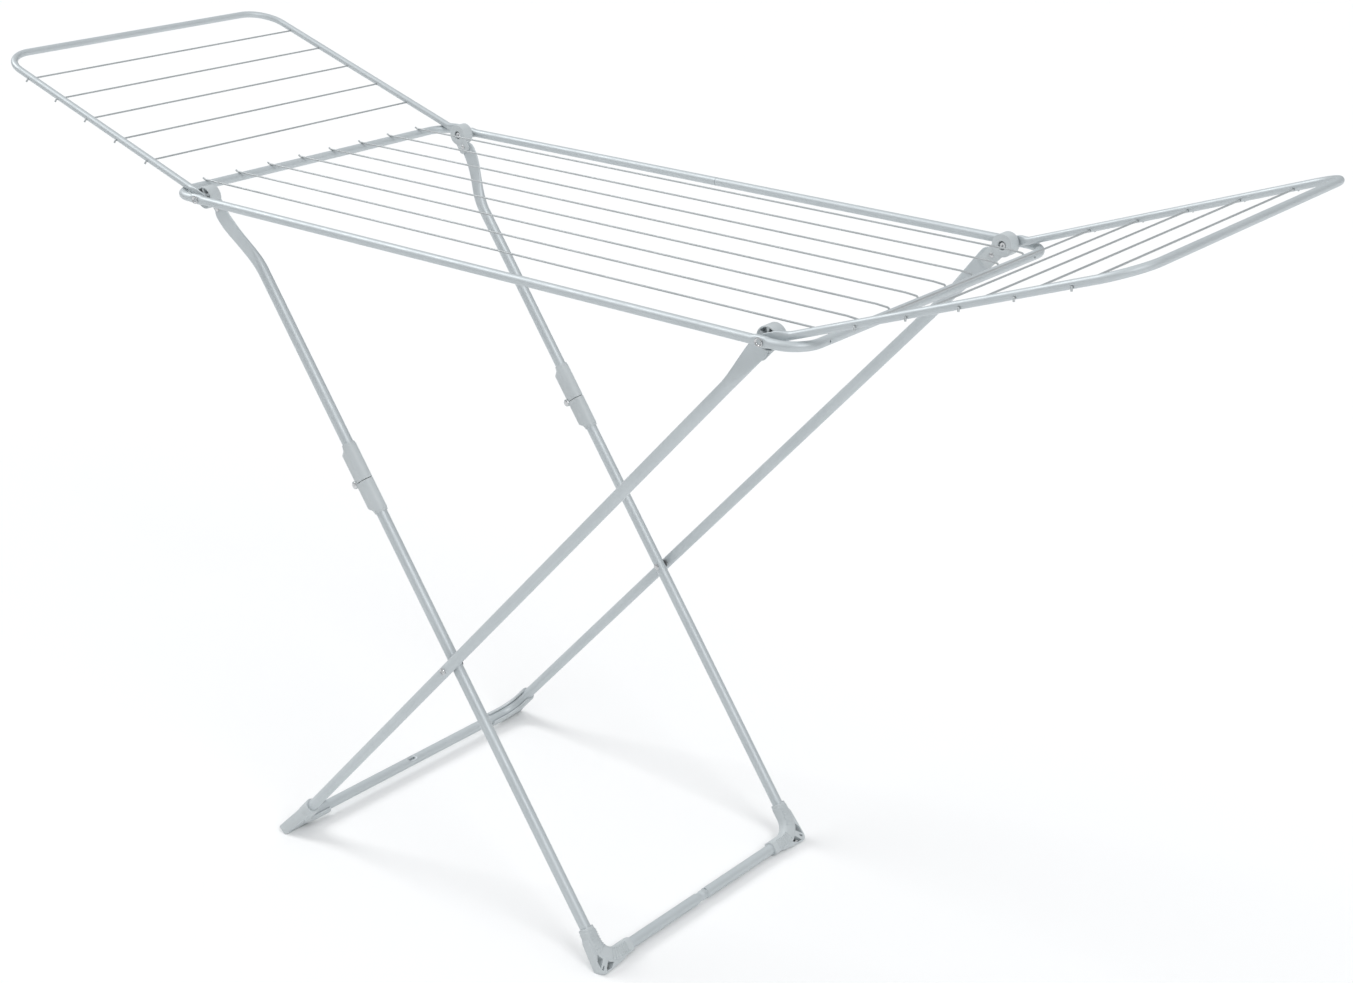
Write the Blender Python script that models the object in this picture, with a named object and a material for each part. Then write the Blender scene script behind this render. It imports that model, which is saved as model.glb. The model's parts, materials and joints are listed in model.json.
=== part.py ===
"""A folding clothes drying rack: a wire deck on two crossed leg frames, with a wire wing at each end.

Metres, +Z up. The floor is z = 0, X runs along the deck and Y across it, and the origin is under the
middle of the open rack. Every leg and wing is modelled flat in its own frame, whose X axis runs away
from its hinge, and an empty on the hinge's axis then turns it to where it stands.
"""

import math

import bmesh
import bpy
from mathutils import Matrix, Vector

# Deck: one tube bent to a rectangle, with wires along X.
DECK_HEIGHT = 0.984          # hinge axes and deck tube above the floor
PIVOT_SPACING = 0.980        # from the left hinge axis to the right one
DECK_OVERHANG = 0.0547       # from a hinge axis to the middle of the end bar beyond it
DECK_HALF_WIDTH = 0.267      # middle of the deck to the middle of a side rail
DECK_TUBE_R = 0.0060
DECK_CORNER_R = 0.036
DECK_WIRES = 8
SEAM_GAP = 0.0006            # where the two ends of the deck tube meet
RAIL_PRESSED_HALF_HEIGHT = 0.0070
RAIL_PRESSED_HALF_THICK = 0.0046
RAIL_PRESSED_HALF_LENGTH = 0.0075
RAIL_ROUND_FROM = 0.0120     # from the hinge axis, where the pressed rail is round again

# Wings: a tube bent to a U, flattened at its two ends, with wires along Y.
WING_LENGTH = 0.476          # hinge axis to the middle of the outer bar
WING_HALF_WIDTH = 0.2520
WING_TUBE_R = 0.0050
WING_CORNER_R = 0.048
WING_TILT = {"left": math.radians(17.1), "right": math.radians(20.0)}
WING_WIRES = 5
WING_FIRST_WIRE = 0.1252
WING_WIRE_PITCH = 0.0693
WING_DROP = 0.0020           # the wing's tube runs this far below a line through its hinge axis
WING_WIRE_DROP = 0.0020      # and the wires this far below the middle of the tube
WING_HOOK_OUT = 0.0020       # the wires' bent ends, outside the tube
WING_HOOK_DOWN = 0.0014
WING_PLATE_HALF_WIDE = 0.0073
WING_PLATE_HALF_THICK = 0.0013
WING_PLATE_Y = 0.2583        # middle of the flattened end
WING_PLATE_WIDE_TO = 0.0120  # from the hinge axis
WING_PLATE_TO = 0.0360       # flat as far as this
WING_CRANK = 0.0014          # the flattened part is cranked up this far, to pass over the deck's corner
WING_NARROW_HALF_WIDE = 0.0055
WING_ROUND_FROM = 0.0700

# Legs: two crossed frames of tube. The outer one is in one length, the inner one folds at a knuckle.
LEG_TUBE_R = 0.0080
OUTER_LEG_Y = 0.2380
LEG_SIDE_GAP = 0.0030        # between the outer and the inner legs where they cross
INNER_LEG_Y = OUTER_LEG_Y - 2 * LEG_TUBE_R - LEG_SIDE_GAP
OUTER_LEG_ANGLE = math.radians(47.1)   # below the deck
OUTER_LEG_UPPER = 0.8195     # right hinge axis to the crossing rivet
OUTER_BAR_HEIGHT = 0.0170    # middle of the bottom bars above the floor
INNER_BAR_HEIGHT = 0.0105
LEG_CORNER_R = 0.030
TONGUE_TIP = 0.0160          # the flattened top of a leg starts this far from the hinge axis
TONGUE_HALF_WIDE = 0.0130
TONGUE_HALF_THICK = 0.0015
TONGUE_Y = 0.2428
TONGUE_RISE = 0.0030         # the flat is wider on the leg's upper side, by twice this
TONGUE_FLAT_TO = 0.0400
TONGUE_ROUND_FROM = 0.0760
BEND_FROM = 0.0300           # the inner legs' sideways bend, from the hinge axis
BEND_TO = 0.1150
BEND_STEPS = 3

# Plastic hinge shells on the tops of the legs.
SHELL_R = 0.0155
SHELL_TAIL = {"outer": 0.0390, "inner": 0.0290}
SHELL_TAIL_HALF_WIDE = 0.0108
SHELL_INNER_Y = 0.2379
SHELL_OUTER_Y = 0.2566
SHELL_TAIL_Y = 0.2409        # outer face of the tail, which lies inside the leg's flat top
SHELL_DISC_DEPTH = 0.0150    # of the pockets
SHELL_HUB_R = 0.0068
SHELL_RECESS_R = 0.0062      # round the inner head of the hinge rivet
SHELL_RECESS = 0.0036
SHELL_RIM = 0.0022
SHELL_POCKETS = ((30, 78), (96, 144), (162, 210), (228, 276))   # degrees round the hinge, tail at 0
LEG_RIVET_OFF_SHELL = 0.0050  # from the round of the shell to the middle of the leg rivet
LEG_RIVET_FROM_HINGE = SHELL_R + LEG_RIVET_OFF_SHELL

# Knuckle of the inner legs.
KNUCKLE_OFFSET = 0.0165      # its pin below the middle of the tubes
SLEEVE_WALL = 0.0019
UPPER_SLEEVE_LENGTH = 0.056
LOWER_SLEEVE_LENGTH = 0.050
BUTT_GAP = 0.0004            # each side of the split
LUG_R = 0.0057
LUG_HALF_THICK = 0.0028      # of the upper sleeve's lug, which sits between the lower one's ears
FLANK_HALF_THICK = 0.0086
FLANK_REACH = 0.0150         # how far the flat flanks stand out from the middle of the tubes
FLANK_END_INSET = 0.0040

# Rivets.
HINGE_RIVET_R = 0.0030
HINGE_HEAD_R = 0.0050
HINGE_INNER_HEAD_R = 0.0044
HINGE_CUP_R = 0.0021
SMALL_RIVET_R = 0.0020
SMALL_HEAD_R = 0.0034
CROSS_RIVET_R = 0.0025
CROSS_HEAD_R = 0.0048
BUSH_R = 0.0062
HEAD_THICK = 0.0014

# Feet.
FOOT_WALL = 0.0038
OUTER_FOOT_WALL = 0.0036
FOOT_ON_LEG = 0.022          # how far a foot runs up the leg past the bend
FOOT_ON_BAR = 0.026          # and along the bottom bar
FOOT_WEB_HALF_THICK = 0.0075
FOOT_WEB_FLOOR = 0.0012      # half of what is left between the pockets of the web's two faces
FOOT_WEB_REACH = 0.0155      # how far the corner web stands out from the middle of the tube
FOOT_WEB_ALONG = 0.012       # and how far it runs up the leg and along the bar past the bend
WEB_CORNER_R = 0.006
CLIP_REACH = 0.0240
CLIP_BLOCK_HALF_THICK = 0.0085
CLIP_HALF_ANGLE = math.radians(128)

# Shared by many pieces.
TUBE_WALL = 0.0009
WIRE_R = 0.00125
CLEARANCE = 0.0003           # between pieces that touch
HOLE_CLEARANCE = 0.0003      # radial, round wires and rivets
JOINER_LENGTH = 0.080
TUBE_SIDES = 10
WING_SIDES = 8
ROUND_SIDES = 14
CORNER_STEPS = 5

# Worked out from the sizes above.
LEFT, RIGHT = "left", "right"
SIDES = {"near": -1, "far": 1}
OUTER_PIVOT_X = PIVOT_SPACING / 2
CROSS_X = OUTER_PIVOT_X - OUTER_LEG_UPPER * math.cos(OUTER_LEG_ANGLE)
CROSS_DROP = OUTER_LEG_UPPER * math.sin(OUTER_LEG_ANGLE)
INNER_LEG_ANGLE = math.atan2(CROSS_DROP, CROSS_X + OUTER_PIVOT_X)
INNER_CROSS = math.hypot(CROSS_X + OUTER_PIVOT_X, CROSS_DROP)
KNUCKLE_ALONG = (INNER_CROSS + PIVOT_SPACING - OUTER_LEG_UPPER) / 2   # so that the frames fold flat
OUTER_LEG_LENGTH = (DECK_HEIGHT - OUTER_BAR_HEIGHT) / math.sin(OUTER_LEG_ANGLE)
INNER_LEG_LENGTH = (DECK_HEIGHT - INNER_BAR_HEIGHT) / math.sin(INNER_LEG_ANGLE)
WIRE_PITCH = 2 * DECK_HALF_WIDTH / (DECK_WIRES + 1)
BORE_R = LEG_TUBE_R + CLEARANCE
SLEEVE_R = BORE_R + SLEEVE_WALL


def wing_reach(side):
    """How far a wing's tip is from its hinge axis, along X."""
    return WING_LENGTH * math.cos(WING_TILT[side]) + WING_TUBE_R


CENTRE_SHIFT = (wing_reach(LEFT) - wing_reach(RIGHT)) / 2   # puts the origin under the middle


def clear_scene():
    for obj in list(bpy.data.objects):
        bpy.data.objects.remove(obj, do_unlink=True)


# ---------------------------------------------------------------- materials


def make_material(name, colour, roughness, metallic):
    material = bpy.data.materials.new(name)
    material.use_nodes = True
    shader = material.node_tree.nodes["Principled BSDF"]
    shader.inputs["Base Color"].default_value = (*colour, 1)
    shader.inputs["Roughness"].default_value = roughness
    shader.inputs["Metallic"].default_value = metallic
    material.diffuse_color = (*colour, 1)
    return material


FINISHES = {
    "coated_tube": ((0.60, 0.64, 0.67), 0.38, 0.0),
    "coated_wire": ((0.36, 0.38, 0.39), 0.42, 0.0),
    "plastic": ((0.58, 0.62, 0.64), 0.50, 0.0),
    "rivet": ((0.72, 0.73, 0.74), 0.28, 1.0),
}


def finish(obj, kind):
    """Give the object its own material of one of the rack's four finishes."""
    obj.data.materials.clear()
    obj.data.materials.append(make_material(obj.name + "_finish", *FINISHES[kind]))


# ---------------------------------------------------------------- frames of reference


def make_axis(name, matrix):
    empty = bpy.data.objects.new(name, None)
    empty.empty_display_size = 0.04
    empty.matrix_world = matrix
    bpy.context.scene.collection.objects.link(empty)
    return empty


def make_axes():
    """The empties on the hinge axes. A leg's X runs down the leg and a wing's X runs out to its tip."""
    at_left = Matrix.Translation((CENTRE_SHIFT - OUTER_PIVOT_X, 0, DECK_HEIGHT))
    at_right = Matrix.Translation((CENTRE_SHIFT + OUTER_PIVOT_X, 0, DECK_HEIGHT))
    inner = at_left @ Matrix.Rotation(INNER_LEG_ANGLE, 4, "Y")
    half_turn = Matrix.Rotation(math.pi, 4, "Z")
    return {
        "deck": make_axis("deck_axis", Matrix.Translation((CENTRE_SHIFT, 0, DECK_HEIGHT))),
        "outer": make_axis("outer_leg_axis", at_right @ Matrix.Rotation(math.pi - OUTER_LEG_ANGLE, 4, "Y")),
        "inner": make_axis("inner_leg_axis", inner),
        "knuckle": make_axis("knuckle_axis", inner @ Matrix.Translation((KNUCKLE_ALONG, 0, -KNUCKLE_OFFSET))),
        RIGHT: make_axis("right_wing_axis", at_right @ Matrix.Rotation(-WING_TILT[RIGHT], 4, "Y")),
        LEFT: make_axis("left_wing_axis", at_left @ half_turn @ Matrix.Rotation(-WING_TILT[LEFT], 4, "Y")),
    }


# ---------------------------------------------------------------- mesh helpers


def add_object(name, bm, axis, kind):
    """Turn a bmesh, drawn in an axis's frame, into a named object under that axis."""
    bmesh.ops.recalc_face_normals(bm, faces=bm.faces)
    mesh = bpy.data.meshes.new(name)
    bm.to_mesh(mesh)
    bm.free()
    mesh.shade_smooth()
    mesh.set_sharp_from_angle(angle=math.radians(40))
    obj = bpy.data.objects.new(name, mesh)
    bpy.context.scene.collection.objects.link(obj)
    obj.parent = axis
    if kind:
        finish(obj, kind)
    return obj


def rounded_route(corners, radius, steps=CORNER_STEPS):
    """The points of a line through the corners, with each inner corner rounded."""
    route = [Vector(corners[0])]
    for before, corner, after in zip(corners, corners[1:], corners[2:]):
        corner = Vector(corner)
        back = (Vector(before) - corner).normalized()
        ahead = (Vector(after) - corner).normalized()
        half = back.angle(ahead) / 2
        centre = corner + (back + ahead).normalized() * (radius / math.sin(half))
        start = corner + back * (radius / math.tan(half)) - centre
        turn = math.pi - 2 * half
        axis = back.cross(ahead)
        for step in range(steps + 1):
            route.append(centre + Matrix.Rotation(-turn * step / steps, 3, axis) @ start)
    route.append(Vector(corners[-1]))
    return route


def frames_along(points, wide):
    """A (wide, thick) pair of directions at every point, turned no more than the route turns."""
    points = [Vector(p) for p in points]
    tangents = []
    for i, point in enumerate(points):
        ahead = (points[min(i + 1, len(points) - 1)] - point).normalized()
        back = (point - points[max(i - 1, 0)]).normalized()
        tangents.append((ahead + back).normalized())
    wide = Vector(wide)
    wide = (wide - wide.project(tangents[0])).normalized()
    frames = []
    for i, tangent in enumerate(tangents):
        if i:
            wide = tangents[i - 1].rotation_difference(tangent) @ wide
        frames.append((wide.copy(), tangent.cross(wide)))
    return frames


def stadium(half_wide, half_thick, sides):
    """Points round a shape with round ends, which is a circle when the two halves are equal."""
    run = max(half_wide - half_thick, 0)
    points = []
    for i in range(sides):
        angle = 2 * math.pi * (i + 0.5) / sides
        points.append((math.copysign(run, math.cos(angle)) + half_thick * math.cos(angle),
                       half_thick * math.sin(angle)))
    return points


def sweep(points, outlines, wide, inner=None):
    """Sweep an outline per point along a route: solid, or hollow and open-ended with inner outlines."""
    bm = bmesh.new()
    frames = frames_along(points, wide)

    def skin(shapes):
        rings = []
        for point, shape, (across, up) in zip(points, shapes, frames):
            rings.append([bm.verts.new(Vector(point) + across * a + up * b) for a, b in shape])
        for ring, following in zip(rings, rings[1:]):
            for i in range(len(ring)):
                j = (i + 1) % len(ring)
                bm.faces.new((ring[i], ring[j], following[j], following[i]))
        return rings

    outside = skin(outlines)
    if inner is None:
        bm.faces.new(outside[0])
        bm.faces.new(outside[-1])
        return bm
    inside = skin(inner)
    for end in (0, -1):
        for i in range(len(outside[end])):
            j = (i + 1) % len(outside[end])
            bm.faces.new((outside[end][i], outside[end][j], inside[end][j], inside[end][i]))
    return bm


def tube(rings, wide, sides=TUBE_SIDES, wall=TUBE_WALL):
    """A hollow tube through rings of (point, half_wide, half_thick)."""
    points = [ring[0] for ring in rings]
    outer = [stadium(ring[1], ring[2], sides) for ring in rings]
    inner = [stadium(ring[1] - wall, ring[2] - wall, sides) for ring in rings]
    return sweep(points, outer, wide, inner)


def wire(points, wide=(0, 0, 1), radius=WIRE_R, sides=6):
    return sweep(points, [stadium(radius, radius, sides)] * len(points), wide)


def turned(outline, start, direction, sides=ROUND_SIDES):
    """A turned solid from (distance, radius) pairs along a direction. Radius 0 closes an end."""
    bm = bmesh.new()
    direction = Vector(direction).normalized()
    across = direction.orthogonal().normalized()
    rings = []
    for distance, radius in outline:
        middle = Vector(start) + direction * distance
        count = sides if radius else 1
        spokes = [Matrix.Rotation(2 * math.pi * i / sides, 3, direction) @ across for i in range(count)]
        rings.append([bm.verts.new(middle + spoke * radius) for spoke in spokes])
    for ring, following in zip(rings, rings[1:]):
        for i in range(sides):
            j = (i + 1) % sides
            corners = [ring[i % len(ring)], ring[j % len(ring)],
                       following[j % len(following)], following[i % len(following)]]
            bm.faces.new(list(dict.fromkeys(corners)))
    return bm


def plate(outline, y_from, y_to):
    """A flat plate in the XZ plane of its frame, from an outline of (x, z) points."""
    bm = bmesh.new()
    low = [bm.verts.new((x, y_from, z)) for x, z in outline]
    high = [bm.verts.new((x, y_to, z)) for x, z in outline]
    bm.faces.new(low)
    bm.faces.new(high)
    for i in range(len(outline)):
        j = (i + 1) % len(outline)
        bm.faces.new((low[i], low[j], high[j], high[i]))
    return bm


def helper(name, bm, axis):
    """A hidden object that only cuts another one or is joined to it."""
    obj = add_object(name, bm, axis, None)
    obj.hide_render = True
    obj.display_type = "WIRE"
    return obj


def combine(obj, operation, bm, label):
    """Cut, or join on, a bmesh drawn in the object's own frame."""
    other = helper(f"{obj.name}_{label}", bm, obj.parent)
    modifier = obj.modifiers.new(label, "BOOLEAN")
    modifier.operation = operation
    modifier.solver = "EXACT"
    modifier.object = other
    return obj


def cut(obj, bm, label):
    return combine(obj, "DIFFERENCE", bm, label)


def join(obj, bm, label):
    return combine(obj, "UNION", bm, label)


def merged(*parts):
    """Several separate shapes in one bmesh, to cut with all of them at once."""
    whole = bmesh.new()
    for bm in parts:
        bmesh.ops.recalc_face_normals(bm, faces=bm.faces)
        scratch = bpy.data.meshes.new("scratch")
        bm.to_mesh(scratch)
        bm.free()
        whole.from_mesh(scratch)
        bpy.data.meshes.remove(scratch)
    return whole


def drill(start, end, radius, sides=8):
    """A cylinder to cut a hole with."""
    length = (Vector(end) - Vector(start)).length
    return turned([(0, 0), (0, radius), (length, radius), (length, 0)], start, Vector(end) - Vector(start), sides)


# ---------------------------------------------------------------- deck


def deck_end(sign):
    return sign * (OUTER_PIVOT_X + DECK_OVERHANG)


def rail_rings(points):
    """Rings along the deck tube, with the rails pressed flatter where a hinge rivet goes through."""
    rings = [(points[0], DECK_TUBE_R, DECK_TUBE_R)]
    for before, point in zip(points, points[1:]):
        straight_rail = abs(before.y - point.y) < 1e-6 and abs(before.x - point.x) > RAIL_ROUND_FROM
        if straight_rail:
            heading = math.copysign(1, point.x - before.x)
            low, high = sorted((before.x, point.x))
            pivots = [x for x in (-OUTER_PIVOT_X, OUTER_PIVOT_X) if low < x < high]
            for pivot in sorted(pivots, key=lambda x: x * heading):
                for offset, wide, thick in (
                    (-RAIL_ROUND_FROM, DECK_TUBE_R, DECK_TUBE_R),
                    (-RAIL_PRESSED_HALF_LENGTH, RAIL_PRESSED_HALF_HEIGHT, RAIL_PRESSED_HALF_THICK),
                    (RAIL_PRESSED_HALF_LENGTH, RAIL_PRESSED_HALF_HEIGHT, RAIL_PRESSED_HALF_THICK),
                    (RAIL_ROUND_FROM, DECK_TUBE_R, DECK_TUBE_R),
                ):
                    rings.append((Vector((pivot + offset * heading, point.y, 0)), wide, thick))
        rings.append((point, DECK_TUBE_R, DECK_TUBE_R))
    return rings


def wire_rows():
    return [(i - (DECK_WIRES - 1) / 2) * WIRE_PITCH for i in range(DECK_WIRES)]


def wire_entry():
    """Where a deck wire meets the right end bar: outside the bar, and its end inside the bar."""
    shoulder = Vector((-1, 0, 1)).normalized()
    bar = Vector((deck_end(1), 0, 0))
    return bar + shoulder * (DECK_TUBE_R + 2 * WIRE_R), bar + shoulder * (DECK_TUBE_R - TUBE_WALL) * 0.55


def make_deck(axis):
    """The deck tube is one length. Its ends meet in the middle of the far rail."""
    end, y = deck_end(1), DECK_HALF_WIDTH
    corners = [(-SEAM_GAP / 2, y, 0), (-end, y, 0), (-end, -y, 0), (end, -y, 0), (end, y, 0), (SEAM_GAP / 2, y, 0)]
    frame = add_object("deck_frame", tube(rail_rings(rounded_route(corners, DECK_CORNER_R)), (0, 0, 1)),
                       axis, "coated_tube")
    outside, inside = wire_entry()
    along = (outside - inside).normalized()
    holes = [drill(inside + Vector((0, row, 0)) + along * WIRE_R, outside + Vector((0, row, 0)) + along * WIRE_R,
                   WIRE_R + HOLE_CLEARANCE, 6) for row in wire_rows()]
    for x in (-OUTER_PIVOT_X, OUTER_PIVOT_X):
        for side in SIDES.values():
            holes.append(drill((x, side * (y - 2 * DECK_TUBE_R), 0), (x, side * (y + 2 * DECK_TUBE_R), 0),
                               HINGE_RIVET_R + HOLE_CLEARANCE, 10))
    cut(frame, merged(*holes), "holes")

    over_bar = DECK_TUBE_R + CLEARANCE + WIRE_R
    tip = Vector((-end - DECK_TUBE_R, 0, over_bar + 0.0018))
    hook = Vector((-end - DECK_TUBE_R * 0.4, 0, over_bar))
    bend = outside + Vector((-2.5 * WIRE_R, 0, WIRE_R))
    for number, row in enumerate(wire_rows(), 1):
        shift = Vector((0, row, 0))
        points = [p + shift for p in (tip, hook, bend, outside, inside)]
        add_object(f"deck_wire_{number}", wire(points), axis, "coated_wire")


# ---------------------------------------------------------------- hinge rivets


def hinge_rivet(name, x, side, axis):
    """A tubular rivet: through the rail, the wing's flattened end and the leg's plastic shell."""
    outer = DECK_HALF_WIDTH + RAIL_PRESSED_HALF_THICK + CLEARANCE + HEAD_THICK
    inner = SHELL_INNER_Y + SHELL_RECESS - HEAD_THICK - CLEARANCE
    shank = HINGE_RIVET_R
    length = outer - inner
    outline = [
        (0.0060, 0), (0.0060, HINGE_CUP_R), (0, HINGE_CUP_R + 0.0009), (0, HINGE_HEAD_R - 0.0006),
        (HEAD_THICK * 0.5, HINGE_HEAD_R), (HEAD_THICK, HINGE_HEAD_R), (HEAD_THICK, shank),
        (length - HEAD_THICK, shank), (length - HEAD_THICK, HINGE_INNER_HEAD_R),
        (length, HINGE_INNER_HEAD_R - 0.0010), (length, 0),
    ]
    add_object(name, turned(outline, (x, side * outer, 0), (0, -side, 0), 12), axis, "rivet")


def make_hinge_rivets(axis):
    for end, x in ((LEFT, -OUTER_PIVOT_X), (RIGHT, OUTER_PIVOT_X)):
        for where, side in SIDES.items():
            hinge_rivet(f"hinge_rivet_{end}_{where}", x, side, axis)


# ---------------------------------------------------------------- wings


def plate_end(tip_from, half_wide):
    """(distance, half_wide) pairs that round off a flattened tube's end."""
    pairs = []
    for share in (0.97, 0.80, 0.45):
        pairs.append((tip_from - share * half_wide, half_wide * math.sqrt(1 - share * share)))
    return pairs


def wing_rings():
    """Rings round a wing's U, from one flattened end to the other."""
    ends = [(distance, WING_PLATE_Y, 0.0, half_wide, WING_PLATE_HALF_THICK)
            for distance, half_wide in plate_end(0, WING_PLATE_HALF_WIDE)]
    ends.append((0.0, WING_PLATE_Y, 0.0, WING_PLATE_HALF_WIDE, WING_PLATE_HALF_THICK))
    ends.append((WING_PLATE_WIDE_TO, WING_PLATE_Y, WING_CRANK * 0.4, WING_PLATE_HALF_WIDE, WING_PLATE_HALF_THICK))
    ends.append((WING_PLATE_TO, WING_PLATE_Y, WING_CRANK, WING_NARROW_HALF_WIDE, WING_PLATE_HALF_THICK))
    ends.append((WING_ROUND_FROM, WING_HALF_WIDTH, -WING_DROP, WING_TUBE_R, WING_TUBE_R))
    near = [(Vector((x, -y, z)), wide, thick) for x, y, z, wide, thick in ends]
    far = [(Vector((x, y, z)), wide, thick) for x, y, z, wide, thick in reversed(ends)]
    corners = [near[-1][0], (WING_LENGTH, -WING_HALF_WIDTH, -WING_DROP),
               (WING_LENGTH, WING_HALF_WIDTH, -WING_DROP), far[0][0]]
    return near + [(p, WING_TUBE_R, WING_TUBE_R) for p in rounded_route(corners, WING_CORNER_R)[1:-1]] + far


def wing_wire_places():
    return [WING_FIRST_WIRE + i * WING_WIRE_PITCH for i in range(WING_WIRES)]


def make_wing(side, axis):
    frame = add_object(f"{side}_wing_frame", tube(wing_rings(), (0, 0, 1), WING_SIDES), axis, "coated_tube")
    across = WING_HALF_WIDTH + 2 * WING_TUBE_R
    level = -WING_DROP - WING_WIRE_DROP
    holes = [drill((x, -across, level), (x, across, level), WIRE_R + HOLE_CLEARANCE, 6)
             for x in wing_wire_places()]
    reach = 4 * WING_PLATE_HALF_THICK
    holes += [pin_hole(0, 0, sign * (WING_PLATE_Y - reach), sign * (WING_PLATE_Y + reach), HINGE_RIVET_R)
              for sign in SIDES.values()]
    cut(frame, merged(*holes), "holes")
    beyond = WING_HALF_WIDTH + WING_TUBE_R + 0.5 * WIRE_R
    hook_y = beyond + WING_HOOK_OUT
    hook_z = level - WING_HOOK_DOWN
    for number, x in enumerate(wing_wire_places(), 1):
        points = [(x, -hook_y, hook_z), (x, -beyond, level), (x, beyond, level), (x, hook_y, hook_z)]
        add_object(f"{side}_wing_wire_{number}", wire(points), axis, "coated_wire")


# ---------------------------------------------------------------- legs


def bend_y(x):
    """How far the inner leg's middle is from the rack's middle plane: an S that ends inside the outer legs."""
    share = min(max((x - BEND_FROM) / (BEND_TO - BEND_FROM), 0), 1)
    return TONGUE_Y + (INNER_LEG_Y - TONGUE_Y) * share * share * (3 - 2 * share)


def tongue_rings(side, upper, y_at):
    """Rings of a leg's flattened top, which is straight below and flares on its upper side."""
    rings = []
    for distance, half_wide in plate_end(TONGUE_TIP + TONGUE_HALF_WIDE, TONGUE_HALF_WIDE):
        rings.append((distance, upper * TONGUE_RISE, max(half_wide, TONGUE_HALF_THICK), TONGUE_HALF_THICK))
    rings.append((TONGUE_FLAT_TO, upper * TONGUE_RISE, TONGUE_HALF_WIDE, TONGUE_HALF_THICK))
    middle = (TONGUE_FLAT_TO + TONGUE_ROUND_FROM) / 2
    rings.append((middle, upper * TONGUE_RISE * 0.5, (TONGUE_HALF_WIDE + LEG_TUBE_R) / 2,
                  (TONGUE_HALF_THICK + LEG_TUBE_R) / 2))
    return [(Vector((x, side * y_at(x), z)), wide, thick) for x, z, wide, thick in rings]


def j_rings(start_x, side, leg_y, length):
    """Rings of a round leg tube that turns into half of its bottom bar."""
    corners = [(start_x, side * leg_y, 0), (length, side * leg_y, 0), (length, side * BUTT_GAP, 0)]
    return [(p, LEG_TUBE_R, LEG_TUBE_R) for p in rounded_route(corners, LEG_CORNER_R)]


def pin_hole(x, z, y_from, y_to, radius, sides=10):
    return drill((x, y_from, z), (x, y_to, z), radius + HOLE_CLEARANCE, sides)


def outer_y(x):
    """How far the outer leg's middle is from the rack's middle plane."""
    share = min(max((x - TONGUE_FLAT_TO) / (TONGUE_ROUND_FROM - TONGUE_FLAT_TO), 0), 1)
    return TONGUE_Y + (OUTER_LEG_Y - TONGUE_Y) * share


def make_outer_legs(axis):
    for where, side in SIDES.items():
        rings = tongue_rings(side, -1, outer_y)
        rings += j_rings(TONGUE_ROUND_FROM, side, OUTER_LEG_Y, OUTER_LEG_LENGTH)
        leg = add_object(f"outer_leg_{where}", tube(rings, (0, 0, 1)), axis, "coated_tube")
        reach = 2 * LEG_TUBE_R
        cut(leg, merged(
            pin_hole(LEG_RIVET_FROM_HINGE, 0, side * (TONGUE_Y - reach), side * (TONGUE_Y + reach), SMALL_RIVET_R),
            pin_hole(OUTER_LEG_UPPER, 0, side * (OUTER_LEG_Y - reach), side * (OUTER_LEG_Y + reach), CROSS_RIVET_R),
        ), "holes")
        hinge_shell(f"outer_hinge_shell_{where}", side, axis, SHELL_TAIL["outer"])
        leg_rivet(f"outer_leg_rivet_{where}", side, axis)
        outer_foot(f"outer_foot_{where}", side, axis)
        cross_rivet_outside(f"cross_rivet_outer_{where}", side, axis)
        cross_bush(f"cross_bush_{where}", side, axis)
    bar_joiner("outer_bar_joiner", OUTER_LEG_LENGTH, axis)


def bend_rings(side):
    """Rings of the round part of the inner leg's sideways bend."""
    step_long = (BEND_TO - TONGUE_ROUND_FROM) / BEND_STEPS
    places = [TONGUE_ROUND_FROM + step_long * step for step in range(BEND_STEPS + 1)]
    return [(Vector((x, side * bend_y(x), 0)), LEG_TUBE_R, LEG_TUBE_R) for x in places]


def make_inner_upper_legs(axis):
    for where, side in SIDES.items():
        rings = tongue_rings(side, 1, bend_y) + bend_rings(side)
        rings.append((Vector((KNUCKLE_ALONG - BUTT_GAP, side * INNER_LEG_Y, 0)), LEG_TUBE_R, LEG_TUBE_R))
        leg = add_object(f"inner_upper_leg_{where}", tube(rings, (0, 0, 1)), axis, "coated_tube")
        reach = 2 * LEG_TUBE_R
        cut(leg, pin_hole(LEG_RIVET_FROM_HINGE, 0, side * (TONGUE_Y - reach), side * (TONGUE_Y + reach),
                          SMALL_RIVET_R), "hole")
        hinge_shell(f"inner_hinge_shell_{where}", side, axis, SHELL_TAIL["inner"])
        leg_rivet(f"inner_leg_rivet_{where}", side, axis)
        upper_sleeve(f"upper_sleeve_{where}", side, axis)


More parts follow.
